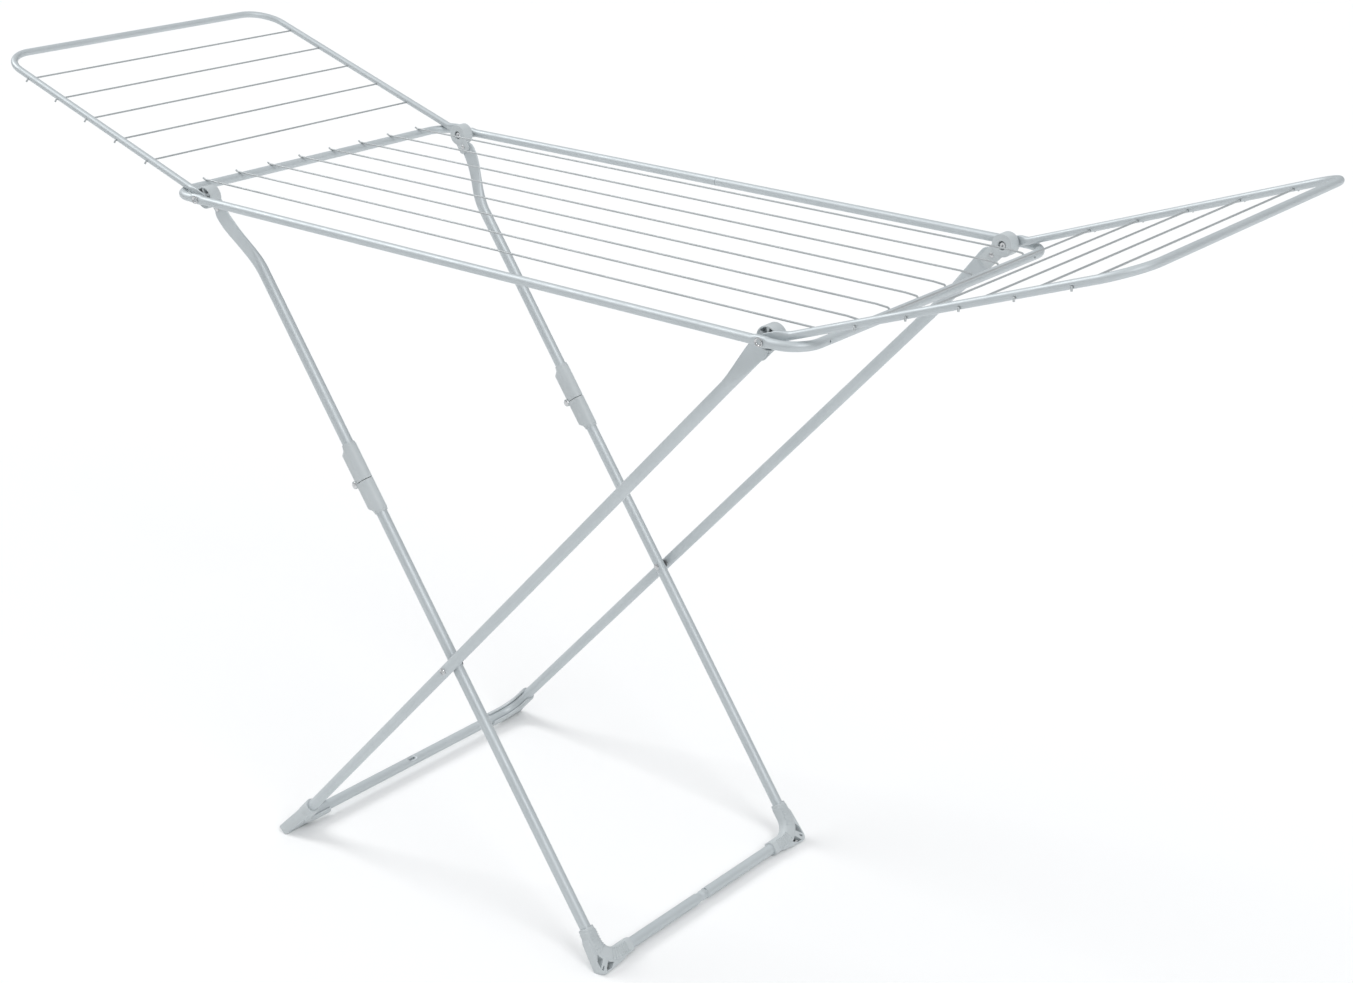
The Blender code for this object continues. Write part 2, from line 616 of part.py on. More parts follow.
def make_inner_lower_legs(axis):
    """Drawn in the knuckle's frame, whose origin is on the knuckle's pin."""
    lift = Vector((-KNUCKLE_ALONG, 0, KNUCKLE_OFFSET))
    for where, side in SIDES.items():
        rings = [(p + lift, w, t) for p, w, t in
                 j_rings(KNUCKLE_ALONG + BUTT_GAP, side, INNER_LEG_Y, INNER_LEG_LENGTH)]
        leg = add_object(f"inner_lower_leg_{where}", tube(rings, (0, 0, 1)), axis, "coated_tube")
        reach = 2 * LEG_TUBE_R
        cut(leg, pin_hole(INNER_CROSS - KNUCKLE_ALONG, KNUCKLE_OFFSET, side * (INNER_LEG_Y - reach),
                          side * (INNER_LEG_Y + reach), CROSS_RIVET_R), "hole")
        lower_sleeve(f"lower_sleeve_{where}", side, axis)
        knuckle_rivet(f"knuckle_rivet_{where}", side, axis)
        inner_foot(f"inner_foot_{where}", side, axis, lift)
        cross_rivet_inside(f"cross_rivet_inner_{where}", side, axis, lift)
    bar_joiner("inner_bar_joiner", INNER_LEG_LENGTH - KNUCKLE_ALONG, axis, KNUCKLE_OFFSET)


def bar_joiner(name, x, axis, z=0.0):
    """A short tube inside the two halves of a bottom bar."""
    radius = LEG_TUBE_R - TUBE_WALL - CLEARANCE
    ends = [(Vector((x, y, z)), radius, radius) for y in (-JOINER_LENGTH / 2, JOINER_LENGTH / 2)]
    add_object(name, tube(ends, (0, 0, 1)), axis, "coated_tube")


# ---------------------------------------------------------------- hinge shells and their rivets


def arc(centre, radius, start, stop, steps):
    """Points on an arc in the XZ plane, by angles in degrees from +X towards +Z."""
    points = []
    for i in range(steps + 1):
        angle = math.radians(start + (stop - start) * i / steps)
        points.append((centre[0] + radius * math.cos(angle), centre[1] + radius * math.sin(angle)))
    return points


def tail_outline(tail):
    """The shell's tail down the leg, with round lower corners."""
    corner = SHELL_TAIL_HALF_WIDE * 0.45
    outline = [(0, SHELL_TAIL_HALF_WIDE), (0, -SHELL_TAIL_HALF_WIDE)]
    outline += arc((tail - corner, -SHELL_TAIL_HALF_WIDE + corner), corner, 270, 360, 3)
    outline += arc((tail - corner, SHELL_TAIL_HALF_WIDE - corner), corner, 0, 90, 3)
    return outline


def sector(inner_r, outer_r, start, stop, y_from, y_to):
    outline = arc((0, 0), outer_r, start, stop, 3) + arc((0, 0), inner_r, stop, start, 3)
    return plate(outline, y_from, y_to)


def hinge_shell(name, side, axis, tail):
    """The plastic shell that turns on the deck's hinge rivet, with pockets between ribs on its outer face."""
    depth = SHELL_OUTER_Y - SHELL_INNER_Y
    disc = turned([(0, 0), (0, SHELL_R), (depth, SHELL_R), (depth, 0)],
                  (0, side * SHELL_INNER_Y, 0), (0, side, 0), 20)
    shell = add_object(name, disc, axis, "plastic")
    join(shell, plate(tail_outline(tail), side * SHELL_INNER_Y, side * SHELL_TAIL_Y), "tail")
    floor_y = side * (SHELL_OUTER_Y - SHELL_DISC_DEPTH)
    above = side * (SHELL_OUTER_Y + 0.002)
    cutters = [sector(SHELL_HUB_R, SHELL_R - SHELL_RIM, start, stop, floor_y, above)
               for start, stop in SHELL_POCKETS]
    below = side * (SHELL_INNER_Y - 0.002)
    cutters.append(drill((0, below, 0), (0, side * (SHELL_INNER_Y + SHELL_RECESS), 0), SHELL_RECESS_R, 14))
    cut(shell, merged(*cutters), "pockets")
    cut(shell, merged(pin_hole(0, 0, below, above, HINGE_RIVET_R),
                      pin_hole(LEG_RIVET_FROM_HINGE, 0, below, above, SMALL_RIVET_R)), "holes")


def rivet_outline(shank, head_r, length, far_head_r):
    """(distance, radius) pairs of a plain rivet with a low domed head at each end."""
    return [
        (0, 0), (0, head_r * 0.45), (HEAD_THICK * 0.5, head_r * 0.9), (HEAD_THICK, head_r), (HEAD_THICK, shank),
        (length - HEAD_THICK, shank), (length - HEAD_THICK, far_head_r), (length, far_head_r * 0.8), (length, 0),
    ]


def leg_rivet(name, side, axis):
    """Holds a leg's flattened top to its hinge shell's tail."""
    start = SHELL_INNER_Y - CLEARANCE - HEAD_THICK
    end = TONGUE_Y + TONGUE_HALF_THICK + CLEARANCE + HEAD_THICK
    outline = rivet_outline(SMALL_RIVET_R, SMALL_HEAD_R, end - start, SMALL_HEAD_R)
    add_object(name, turned(outline, (LEG_RIVET_FROM_HINGE, side * start, 0), (0, side, 0), 10), axis, "rivet")


def cross_rivet_outside(name, side, axis):
    """The half of the crossing rivet that stays in the outer leg, ending in the middle of the gap."""
    start = OUTER_LEG_Y + LEG_TUBE_R + CLEARANCE + HEAD_THICK
    end = (OUTER_LEG_Y - LEG_TUBE_R + INNER_LEG_Y + LEG_TUBE_R) / 2 + CLEARANCE
    length = start - end
    outline = [(0, 0), (0, CROSS_HEAD_R * 0.45), (HEAD_THICK * 0.5, CROSS_HEAD_R * 0.9), (HEAD_THICK, CROSS_HEAD_R),
               (HEAD_THICK, CROSS_RIVET_R), (length, CROSS_RIVET_R), (length, 0)]
    add_object(name, turned(outline, (OUTER_LEG_UPPER, side * start, 0), (0, -side, 0), 12), axis, "rivet")


def cross_bush(name, side, axis):
    """The plastic spacer between the crossing legs, on the outer leg's half of the rivet."""
    outer_face = OUTER_LEG_Y - LEG_TUBE_R - CLEARANCE
    inner_face = INNER_LEG_Y + LEG_TUBE_R + 2 * CLEARANCE
    ends = [(Vector((OUTER_LEG_UPPER, side * y, 0)), BUSH_R, BUSH_R) for y in (outer_face, inner_face)]
    wall = BUSH_R - CROSS_RIVET_R - HOLE_CLEARANCE
    add_object(name, tube(ends, (1, 0, 0), 12, wall), axis, "plastic")


def cross_rivet_inside(name, side, axis, lift):
    """The half of the crossing rivet that stays in the inner leg."""
    start = INNER_LEG_Y - LEG_TUBE_R - CLEARANCE - HEAD_THICK
    end = INNER_LEG_Y + LEG_TUBE_R
    length = end - start
    outline = [(0, 0), (0, CROSS_HEAD_R * 0.45), (HEAD_THICK * 0.5, CROSS_HEAD_R * 0.9), (HEAD_THICK, CROSS_HEAD_R),
               (HEAD_THICK, CROSS_RIVET_R), (length, CROSS_RIVET_R), (length, 0)]
    place = Vector((INNER_CROSS, side * start, 0)) + lift
    add_object(name, turned(outline, place, (0, side, 0), 12), axis, "rivet")


# ---------------------------------------------------------------- knuckle


def sleeve_body(x_from, x_to, y, z):
    """The round barrel of a sleeve, still solid."""
    return turned([(0, 0), (0, SLEEVE_R), (x_to - x_from, SLEEVE_R), (x_to - x_from, 0)], (x_from, y, z), (1, 0, 0))


def leg_bore(route, sides=TUBE_SIDES):
    """To cut a channel for a leg's tube, with the same flats as the tube and past both ends."""
    start = route[0] + (route[0] - route[1]).normalized() * 0.01
    stop = route[-1] + (route[-1] - route[-2]).normalized() * 0.01
    route = [start] + route[1:-1] + [stop]
    return sweep(route, [stadium(BORE_R, BORE_R, sides)] * len(route), (0, 0, 1))


def flank(x_split, x_end, axis_z, y):
    """The flat-sided part under a barrel, which slopes away near the barrel's far end."""
    heading = math.copysign(1, x_end - x_split)
    outline = [(x_split, axis_z - LEG_TUBE_R * 0.5), (x_split, axis_z - FLANK_REACH),
               (x_end - heading * 2.5 * FLANK_END_INSET, axis_z - FLANK_REACH),
               (x_end - heading * FLANK_END_INSET, axis_z - LEG_TUBE_R * 0.5)]
    return plate(outline, y - FLANK_HALF_THICK, y + FLANK_HALF_THICK)


def lug(pin, radius, y_from, y_to):
    return drill((pin[0], y_from, pin[1]), (pin[0], y_to, pin[1]), radius, ROUND_SIDES)


def upper_sleeve(name, side, axis):
    """The knuckle's upper sleeve, drawn in the hinge's frame, with one lug in its middle."""
    y = side * INNER_LEG_Y
    pin = (KNUCKLE_ALONG, -KNUCKLE_OFFSET)
    x_from, x_to = KNUCKLE_ALONG - UPPER_SLEEVE_LENGTH, KNUCKLE_ALONG - BUTT_GAP
    sleeve = add_object(name, sleeve_body(x_from, x_to, y, 0), axis, "plastic")
    join(sleeve, flank(x_to, x_from, 0, y), "flank")
    join(sleeve, lug(pin, LUG_R, y - LUG_HALF_THICK, y + LUG_HALF_THICK), "lug")
    past = 2 * FLANK_HALF_THICK
    cut(sleeve, merged(lug(pin, LUG_R + 2 * CLEARANCE, y - past, y - LUG_HALF_THICK),
                       lug(pin, LUG_R + 2 * CLEARANCE, y + LUG_HALF_THICK, y + past)), "ear_room")
    cut(sleeve, leg_bore([Vector((x_from, y, 0)), Vector((x_to, y, 0))]), "bore")
    cut(sleeve, pin_hole(*pin, y - 0.02, y + 0.02, CROSS_RIVET_R), "pin_hole")


def lower_sleeve(name, side, axis):
    """The knuckle's lower sleeve, drawn in the knuckle's frame, with an ear either side of the upper lug."""
    y = side * INNER_LEG_Y
    x_from, x_to = BUTT_GAP, LOWER_SLEEVE_LENGTH
    sleeve = add_object(name, sleeve_body(x_from, x_to, y, KNUCKLE_OFFSET), axis, "plastic")
    join(sleeve, flank(x_from, x_to, KNUCKLE_OFFSET, y), "flank")
    join(sleeve, lug((0, 0), LUG_R, y - FLANK_HALF_THICK, y + FLANK_HALF_THICK), "ears")
    room = LUG_HALF_THICK + CLEARANCE
    cut(sleeve, lug((0, 0), LUG_R + 2 * CLEARANCE, y - room, y + room), "lug_room")
    cut(sleeve, leg_bore([Vector((x_from, y, KNUCKLE_OFFSET)), Vector((x_to, y, KNUCKLE_OFFSET))]), "bore")
    cut(sleeve, pin_hole(0, 0, y - 0.02, y + 0.02, CROSS_RIVET_R), "pin_hole")


def knuckle_rivet(name, side, axis):
    reach = FLANK_HALF_THICK + CLEARANCE + HEAD_THICK
    y = side * INNER_LEG_Y
    outline = rivet_outline(CROSS_RIVET_R, CROSS_HEAD_R, 2 * reach, CROSS_HEAD_R)
    add_object(name, turned(outline, (0, y + side * reach, 0), (0, -side, 0), 12), axis, "rivet")


# ---------------------------------------------------------------- feet


def foot_route(side, leg_y, length, lift):
    """The stretch of a leg's bend that a foot covers."""
    corners = [(length - LEG_CORNER_R - FOOT_ON_LEG, side * leg_y, 0), (length, side * leg_y, 0),
               (length, side * (leg_y - LEG_CORNER_R - FOOT_ON_BAR), 0)]
    return [p + lift for p in rounded_route(corners, LEG_CORNER_R)]


def below_floor(axis):
    """A block below the floor, in an axis's frame, to cut a flat sole with."""
    bm = bmesh.new()
    bmesh.ops.create_cube(bm, size=1)
    bmesh.ops.transform(bm, matrix=axis.matrix_world.inverted() @ Matrix.Translation((0, 0, -0.5)) @
                        Matrix.Diagonal((2, 2, 1, 1)), verts=bm.verts)
    return bm


def slab(outline, z_from, z_to):
    """A flat plate in the XY plane of its frame, from an outline of (x, y) points."""
    bm = plate(outline, z_from, z_to)
    for vert in bm.verts:
        vert.co = vert.co.xzy
    return bm


def corner_web(side, leg_y, length, reach, half_thick, lift):
    """A web in the plane of the frame that fills the bend's outer corner, out from the middle of the tube."""
    bend = (length - LEG_CORNER_R, leg_y - LEG_CORNER_R)
    round_r = WEB_CORNER_R
    outline = [(bend[0] - FOOT_WEB_ALONG, leg_y), (bend[0] - FOOT_WEB_ALONG, leg_y + BORE_R)]
    outline += arc((length + reach - round_r, leg_y + reach - round_r), round_r, 90, 0, 4)
    outline += [(length + BORE_R, bend[1] - FOOT_WEB_ALONG), (length, bend[1] - FOOT_WEB_ALONG)]
    outline += arc(bend, LEG_CORNER_R, 0, 90, CORNER_STEPS)
    points = [(x + lift.x, side * y) for x, y in outline]
    return slab(points, lift.z - half_thick, lift.z + half_thick)


def web_pockets(side, leg_y, length, lift):
    """Two triangles on each face of the web, either side of a rib down its diagonal."""
    first = Vector((length - LEG_CORNER_R * 0.15, leg_y + BORE_R + FOOT_WALL + 0.0012))
    tip = Vector((length + FOOT_WEB_REACH - FOOT_WALL, leg_y + FOOT_WEB_REACH - FOOT_WALL * 0.5))
    inner = Vector((length + BORE_R * 0.62, leg_y + BORE_R * 0.62)) + Vector((0.0036, 0.0046))
    pockets = []
    for mirror in (False, True):
        corners = [first, tip + Vector((-0.0012, 0)), inner]
        if mirror:
            corners = [Vector((length + c.y - leg_y, leg_y + c.x - length)) for c in corners]
        points = [(c.x + lift.x, side * c.y) for c in corners]
        for face in (-1, 1):
            pockets.append(slab(points, lift.z + face * FOOT_WEB_FLOOR, lift.z + face * FOOT_WEB_HALF_THICK * 2))
    return pockets


def inner_foot(name, side, axis, lift):
    """A plastic corner shoe: a sleeve round the bend with a web that fills the outer corner."""
    route = foot_route(side, INNER_LEG_Y, INNER_LEG_LENGTH, lift)
    radius = BORE_R + FOOT_WALL
    shoe = sweep(route, [stadium(radius, radius, TUBE_SIDES)] * len(route), (0, 0, 1))
    foot = add_object(name, shoe, axis, "plastic")
    join(foot, corner_web(side, INNER_LEG_Y, INNER_LEG_LENGTH, FOOT_WEB_REACH, FOOT_WEB_HALF_THICK, lift), "web")
    cut(foot, merged(*web_pockets(side, INNER_LEG_Y, INNER_LEG_LENGTH, lift)), "pockets")
    cut(foot, leg_bore(route), "bore")
    cut(foot, below_floor(axis), "sole")


def outer_foot(name, side, axis):
    """A plastic clip that covers the outside of the bend, leaves its inside open and stands on a block."""
    flat = Vector((0, 0, 0))
    route = foot_route(side, OUTER_LEG_Y, OUTER_LEG_LENGTH, flat)
    outer_r = BORE_R + OUTER_FOOT_WALL
    steps = 9
    section = []
    for radius, start, stop in ((outer_r, -1, 1), (BORE_R / math.cos(CLIP_HALF_ANGLE / steps), 1, -1)):
        for i in range(steps + 1):
            angle = CLIP_HALF_ANGLE * (start + (stop - start) * i / steps)
            section.append((radius * math.cos(angle), radius * math.sin(angle)))
    foot = add_object(name, sweep(route, [section] * len(route), (0, side, 0)), axis, "plastic")
    join(foot, corner_web(side, OUTER_LEG_Y, OUTER_LEG_LENGTH, CLIP_REACH, CLIP_BLOCK_HALF_THICK, flat), "block")
    cut(foot, leg_bore(route), "bore")
    cut(foot, below_floor(axis), "sole")


def main():
    clear_scene()
    axes = make_axes()
    make_deck(axes["deck"])
    make_hinge_rivets(axes["deck"])
    make_wing(LEFT, axes[LEFT])
    make_wing(RIGHT, axes[RIGHT])
    make_outer_legs(axes["outer"])
    make_inner_upper_legs(axes["inner"])
    make_inner_lower_legs(axes["knuckle"])


main()
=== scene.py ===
# %% [markdown]
# # A folding clothes drying rack
# The rack is a wire deck on two crossed leg frames, with a wire wing hinged to each end. This notebook
# puts smooth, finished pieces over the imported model, gives them powder coat, plastic and zinc, and lights
# them on a pale studio floor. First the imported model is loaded: it is the frame every piece is drawn on.

# %% Load the frame
import json
import math

import bmesh
import bpy
from mathutils import Matrix, Vector


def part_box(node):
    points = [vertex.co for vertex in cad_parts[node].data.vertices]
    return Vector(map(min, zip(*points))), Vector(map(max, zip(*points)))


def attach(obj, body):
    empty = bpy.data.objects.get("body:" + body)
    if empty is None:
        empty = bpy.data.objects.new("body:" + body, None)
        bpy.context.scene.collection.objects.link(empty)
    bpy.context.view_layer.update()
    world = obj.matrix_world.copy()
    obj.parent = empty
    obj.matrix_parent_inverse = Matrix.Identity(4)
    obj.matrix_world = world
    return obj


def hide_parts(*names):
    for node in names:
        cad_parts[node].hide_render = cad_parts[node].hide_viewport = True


with open("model.json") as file:
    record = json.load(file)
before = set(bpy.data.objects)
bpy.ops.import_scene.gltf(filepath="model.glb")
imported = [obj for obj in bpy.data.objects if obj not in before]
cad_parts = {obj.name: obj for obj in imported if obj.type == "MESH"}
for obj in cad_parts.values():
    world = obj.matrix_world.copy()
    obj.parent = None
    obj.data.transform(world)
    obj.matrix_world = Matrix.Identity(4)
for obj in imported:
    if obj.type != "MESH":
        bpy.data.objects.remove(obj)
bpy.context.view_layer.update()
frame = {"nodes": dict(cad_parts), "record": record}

# %% [markdown]
# Every measurement that places a piece is read from the frame. The hinge axes come from the joints in the
# record, and the directions of the legs and wings come from where their far ends stand.

# %% Hinge axes and leg directions
joints = {joint["name"]: joint for joint in frame["record"]["behaviour"]["joints"]}
left_pivot = Vector(joints["left_wing_hinge"]["pos_m"])
right_pivot = Vector(joints["right_wing_hinge"]["pos_m"])
knuckle_pin = Vector(joints["knuckle_fold"]["pos_m"])


def middle(node):
    a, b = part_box(node)
    return (a + b) / 2


def frame_along(pivot, tip, across=1):
    """A frame on a pivot whose X runs to the tip and whose Y runs across the rack."""
    x = (tip - pivot).normalized()
    y = Vector((0, across, 0))
    return Matrix.Translation(pivot) @ Matrix((x, y, x.cross(y))).transposed().to_4x4()


outer_bar = middle("outer_bar_joiner")
inner_bar = middle("inner_bar_joiner")
WING_TUBE_R = 0.0050
WING_DROP = 0.0020


def wing_tip(side):
    """The middle of a wing's outer bar, lifted to the line through its hinge axis."""
    a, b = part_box(f"{side}_wing_frame")
    x = a.x + WING_TUBE_R if side == "left" else b.x - WING_TUBE_R
    bar = Vector((x, 0, b.z - WING_TUBE_R))
    pivot = left_pivot if side == "left" else right_pivot
    run = (bar - pivot).length
    away = (bar - pivot).normalized()
    turn = math.copysign(math.asin(WING_DROP / run), away.x)
    return pivot + Matrix.Rotation(-turn, 3, "Y") @ (bar - pivot)


deck_middle = (left_pivot + right_pivot) / 2
FRAMES = {
    "deck": Matrix.Translation(deck_middle),
    "outer": frame_along(right_pivot, outer_bar),
    "inner": frame_along(left_pivot, inner_bar),
    "left": frame_along(left_pivot, wing_tip("left"), -1),
    "right": frame_along(right_pivot, wing_tip("right")),
}
pivot_half = (right_pivot - left_pivot).length / 2
OUTER_LENGTH = (outer_bar - right_pivot).length
INNER_LENGTH = (inner_bar - left_pivot).length
knuckle = FRAMES["inner"].inverted() @ knuckle_pin
print("legs", round(OUTER_LENGTH, 4), round(INNER_LENGTH, 4), "knuckle at", [round(v, 4) for v in knuckle])

# %% [markdown]
# The camera stands to the right of the rack's near side and looks down on it, through a short telephoto
# lens so that the long deck isn't stretched.

# %% Camera
TARGET = Vector((0.1502, 0.0, 0.6298))
AZIMUTH, ELEVATION, DISTANCE = math.radians(39.59), math.radians(22.15), 2.9799
back = Vector((math.sin(AZIMUTH) * math.cos(ELEVATION), -math.cos(AZIMUTH) * math.cos(ELEVATION),
               math.sin(ELEVATION)))
lens = bpy.data.cameras.new("camera")
lens.lens = 58.44
lens.sensor_width = 36
camera = bpy.data.objects.new("camera", lens)
bpy.context.scene.collection.objects.link(camera)
camera.location = TARGET + back * DISTANCE
camera.rotation_euler = back.to_track_quat("Z", "Y").to_euler()
bpy.context.scene.camera = camera
print("camera at", [round(v, 3) for v in camera.location])

# %% [markdown]
# The studio is a white sweep of floor under a pale sky that brightens with height, with two broad soft
# suns, the left one a little stronger. They give thin tubes a gentle highlight and a faint shadow.

# %% Floor and lights
FLOOR_SIZE = 40
bpy.ops.object.select_all(action="DESELECT")
bpy.ops.mesh.primitive_plane_add(size=FLOOR_SIZE, location=(0, 0, 0))
floor = bpy.context.object
floor.name = "floor"
paper = bpy.data.materials.new("white_paper")
paper.use_nodes = True
shader = paper.node_tree.nodes["Principled BSDF"]
shader.inputs["Base Color"].default_value = (0.93, 0.93, 0.93, 1)
shader.inputs["Roughness"].default_value = 0.9
shader.inputs["Specular IOR Level"].default_value = 0.1
floor.data.materials.append(paper)

world = bpy.data.worlds.new("studio")
bpy.context.scene.world = world
world.use_nodes = True
world.node_tree.nodes["Background"].inputs["Color"].default_value = (0.97, 0.985, 1.0, 1)
sky = world.node_tree
direction = sky.nodes.new("ShaderNodeTexCoord")
height = sky.nodes.new("ShaderNodeSeparateXYZ")
sky.links.new(direction.outputs["Generated"], height.inputs["Vector"])
ramp = sky.nodes.new("ShaderNodeMapRange")
ramp.inputs["To Min"].default_value = 0.18
ramp.inputs["To Max"].default_value = 0.92
sky.links.new(height.outputs["Z"], ramp.inputs["Value"])
sky.links.new(ramp.outputs["Result"], sky.nodes["Background"].inputs["Strength"])
bpy.context.scene.view_settings.view_transform = "Standard"
bpy.context.scene.view_settings.look = "None"


def soft_sun(name, come_from, strength, spread):
    """A distant lamp, wide enough across the sky for its shadows to blur a short way from what casts them."""
    lamp = bpy.data.lights.new(name, "SUN")
    lamp.energy = strength
    lamp.angle = math.radians(spread)
    light = bpy.data.objects.new(name, lamp)
    bpy.context.scene.collection.objects.link(light)
    light.rotation_euler = Vector(come_from).to_track_quat("Z", "Y").to_euler()
    return light


soft_sun("left_light", (-1.0, -0.25, 0.90), 1.15, 24)
soft_sun("right_light", (1.0, -0.35, 0.90), 0.95, 24)

# %% [markdown]
# All the finishes are drawn by procedural textures on object coordinates. The powder coat has the faint
# orange peel of baked paint, a slow drift in colour and a few rubbed marks. The wires have the same coat
# over bright steel, so they look darker. The plastic has a fine moulded grain. The rivets are brushed zinc.

# %% Materials


def link(tree, a, b):
    tree.links.new(a, b)


def noise(tree, scale, detail, source):
    node = tree.nodes.new("ShaderNodeTexNoise")
    node.inputs["Scale"].default_value = scale
    node.inputs["Detail"].default_value = detail
    link(tree, source, node.inputs["Vector"])
    return node.outputs["Fac"]


def spread(tree, value, low_value, high_value, start=0.3, stop=0.7):
    """Maps the middle of a noise to a range of values."""
    node = tree.nodes.new("ShaderNodeMapRange")
    node.inputs["From Min"].default_value = start
    node.inputs["From Max"].default_value = stop
    node.inputs["To Min"].default_value = low_value
    node.inputs["To Max"].default_value = high_value
    link(tree, value, node.inputs["Value"])
    return node.outputs["Result"]


def mix(tree, factor, first, second):
    node = tree.nodes.new("ShaderNodeMix")
    node.data_type = "RGBA"
    link(tree, factor, node.inputs["Factor"])
    for socket, colour in (("A", first), ("B", second)):
        target = [s for s in node.inputs if s.name == socket and s.type == "RGBA"][0]
        if isinstance(colour, tuple):
            target.default_value = (*colour, 1)
        else:
            link(tree, colour, target)
    return [s for s in node.outputs if s.type == "RGBA"][0]


def finish_material(name, light, dark, mark, rough, bump, metallic=0.0, coat=0.0):
    """light, dark: the coat's two tones. mark: colour of rubbed spots.

    rough: (low, high). bump: (scale, height)."""
    material = bpy.data.materials.new(name)
    material.use_nodes = True
    tree = material.node_tree
    surface = tree.nodes["Principled BSDF"]
    place = tree.nodes.new("ShaderNodeTexCoord").outputs["Object"]
    tone = mix(tree, spread(tree, noise(tree, 14, 4, place), 0, 1), light, dark)
    rubbed = spread(tree, noise(tree, 85, 6, place), 0, 0.5, 0.68, 0.80)
    link(tree, mix(tree, rubbed, tone, mark), surface.inputs["Base Color"])
    link(tree, spread(tree, noise(tree, 60, 3, place), *rough), surface.inputs["Roughness"])
    grain = tree.nodes.new("ShaderNodeBump")
    grain.inputs["Strength"].default_value = 0.35
    grain.inputs["Distance"].default_value = bump[1]
    link(tree, noise(tree, bump[0], 2, place), grain.inputs["Height"])
    link(tree, grain.outputs["Normal"], surface.inputs["Normal"])
    surface.inputs["Metallic"].default_value = metallic
    surface.inputs["Coat Weight"].default_value = coat
    surface.inputs["Coat Roughness"].default_value = 0.3
    return material


MATERIALS = {
    "coated_tube": finish_material("powder_coat", (0.560, 0.603, 0.622), (0.528, 0.571, 0.591),
                                   (0.49, 0.53, 0.55), (0.45, 0.54), (1500, 0.00010), metallic=0.35),
    "coated_wire": finish_material("wire_coat", (0.440, 0.465, 0.475), (0.395, 0.420, 0.430),
                                   (0.33, 0.35, 0.36), (0.30, 0.42), (1800, 0.00008), metallic=0.3),
    "plastic": finish_material("moulded_plastic", (0.545, 0.585, 0.600), (0.515, 0.553, 0.568),
                               (0.48, 0.51, 0.53), (0.42, 0.54), (2600, 0.00010)),
    "rivet": finish_material("zinc", (0.68, 0.69, 0.70), (0.52, 0.53, 0.54), (0.33, 0.33, 0.33),
                             (0.20, 0.36), (2200, 0.00006), metallic=1.0),
    "dark_bush": finish_material("bush_plastic", (0.16, 0.165, 0.17), (0.12, 0.125, 0.13),
                                 (0.2, 0.2, 0.2), (0.45, 0.6), (2600, 0.0001)),
}

# %% [markdown]
# These are the bench tools. Each piece is drawn in the frame of its own leg or wing, where it is straight
# and flat, and `place` then turns it into the rack and applies the turn, so that its object ends up at the
# origin. `far_copy` mirrors a near piece across the rack and turns its faces outward again.

# %% Bench tools
def only(obj):
    if bpy.context.object and bpy.context.object.mode != "OBJECT":
        bpy.ops.object.mode_set(mode="OBJECT")
    bpy.ops.object.select_all(action="DESELECT")
    obj.select_set(True)
    bpy.context.view_layer.objects.active = obj


def edit(obj):
    only(obj)
    bpy.ops.object.mode_set(mode="EDIT")
    bpy.ops.mesh.select_all(action="SELECT")


def place(obj, matrix):
    obj.matrix_world = matrix
    only(obj)
    bpy.ops.object.transform_apply(location=True, rotation=True, scale=True)
    return obj


def smooth(obj, angle=35):
    only(obj)
    bpy.ops.object.shade_smooth_by_angle(angle=math.radians(angle))


def outward(obj):
    edit(obj)
    bpy.ops.mesh.normals_make_consistent(inside=False)
    bpy.ops.object.mode_set(mode="OBJECT")


def done(obj, kind, body, *nodes):
    """The last step for every piece: finish, shading, and which CAD nodes it stands for."""
    smooth(obj)
    obj.data.materials.clear()
    obj.data.materials.append(MATERIALS[kind])
    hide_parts(*nodes)
    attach(obj, body)
    return obj


def far_copy(obj, name):
    only(obj)
    bpy.ops.object.duplicate(linked=False)
    copy = bpy.context.object
    copy.name = name
    edit(copy)
    bpy.ops.transform.resize(value=(1, -1, 1), center_override=(0, 0, 0))
    bpy.ops.mesh.flip_normals()
    bpy.ops.object.mode_set(mode="OBJECT")
    return copy


def pair(obj, kind, body, stem):
    """Finish a near piece and its far copy."""
    far = far_copy(obj, f"{stem}_far_piece")
    obj.name = f"{stem}_near_piece"
    done(obj, kind, body, f"{stem}_near")
    done(far, kind, body, f"{stem}_far")


def apply(obj, kind, **settings):
    modifier = obj.modifiers.new(kind.lower(), kind)
    for key, value in settings.items():
        setattr(modifier, key, value)
    only(obj)
    bpy.ops.object.modifier_apply(modifier=modifier.name)


def soften(obj, width, segments=2):
    apply(obj, "BEVEL", width=width, segments=segments, limit_method="ANGLE", angle_limit=math.radians(35),
          use_clamp_overlap=True)


def cut_away(obj, *cutters):
    for cutter in cutters:
        apply(obj, "BOOLEAN", operation="DIFFERENCE", solver="EXACT", object=cutter)
        bpy.data.objects.remove(cutter)


def gather(obj, *others):
    """Several bodies moulded in one become one object."""
    only(obj)
    for other in others:
        other.select_set(True)
    bpy.context.view_layer.objects.active = obj
    bpy.ops.object.join()
    return obj


# %% [markdown]
# A tube is drawn the way it is bent: a ring of points is extruded to the next station along the route and
# set to the shape the tube has there, round or pressed flat. Corners are a fan of stations on an arc.

# %% Routes and sections
TUBE_RING = 32
WIRE_RING = 12
CORNER_STEPS = 14


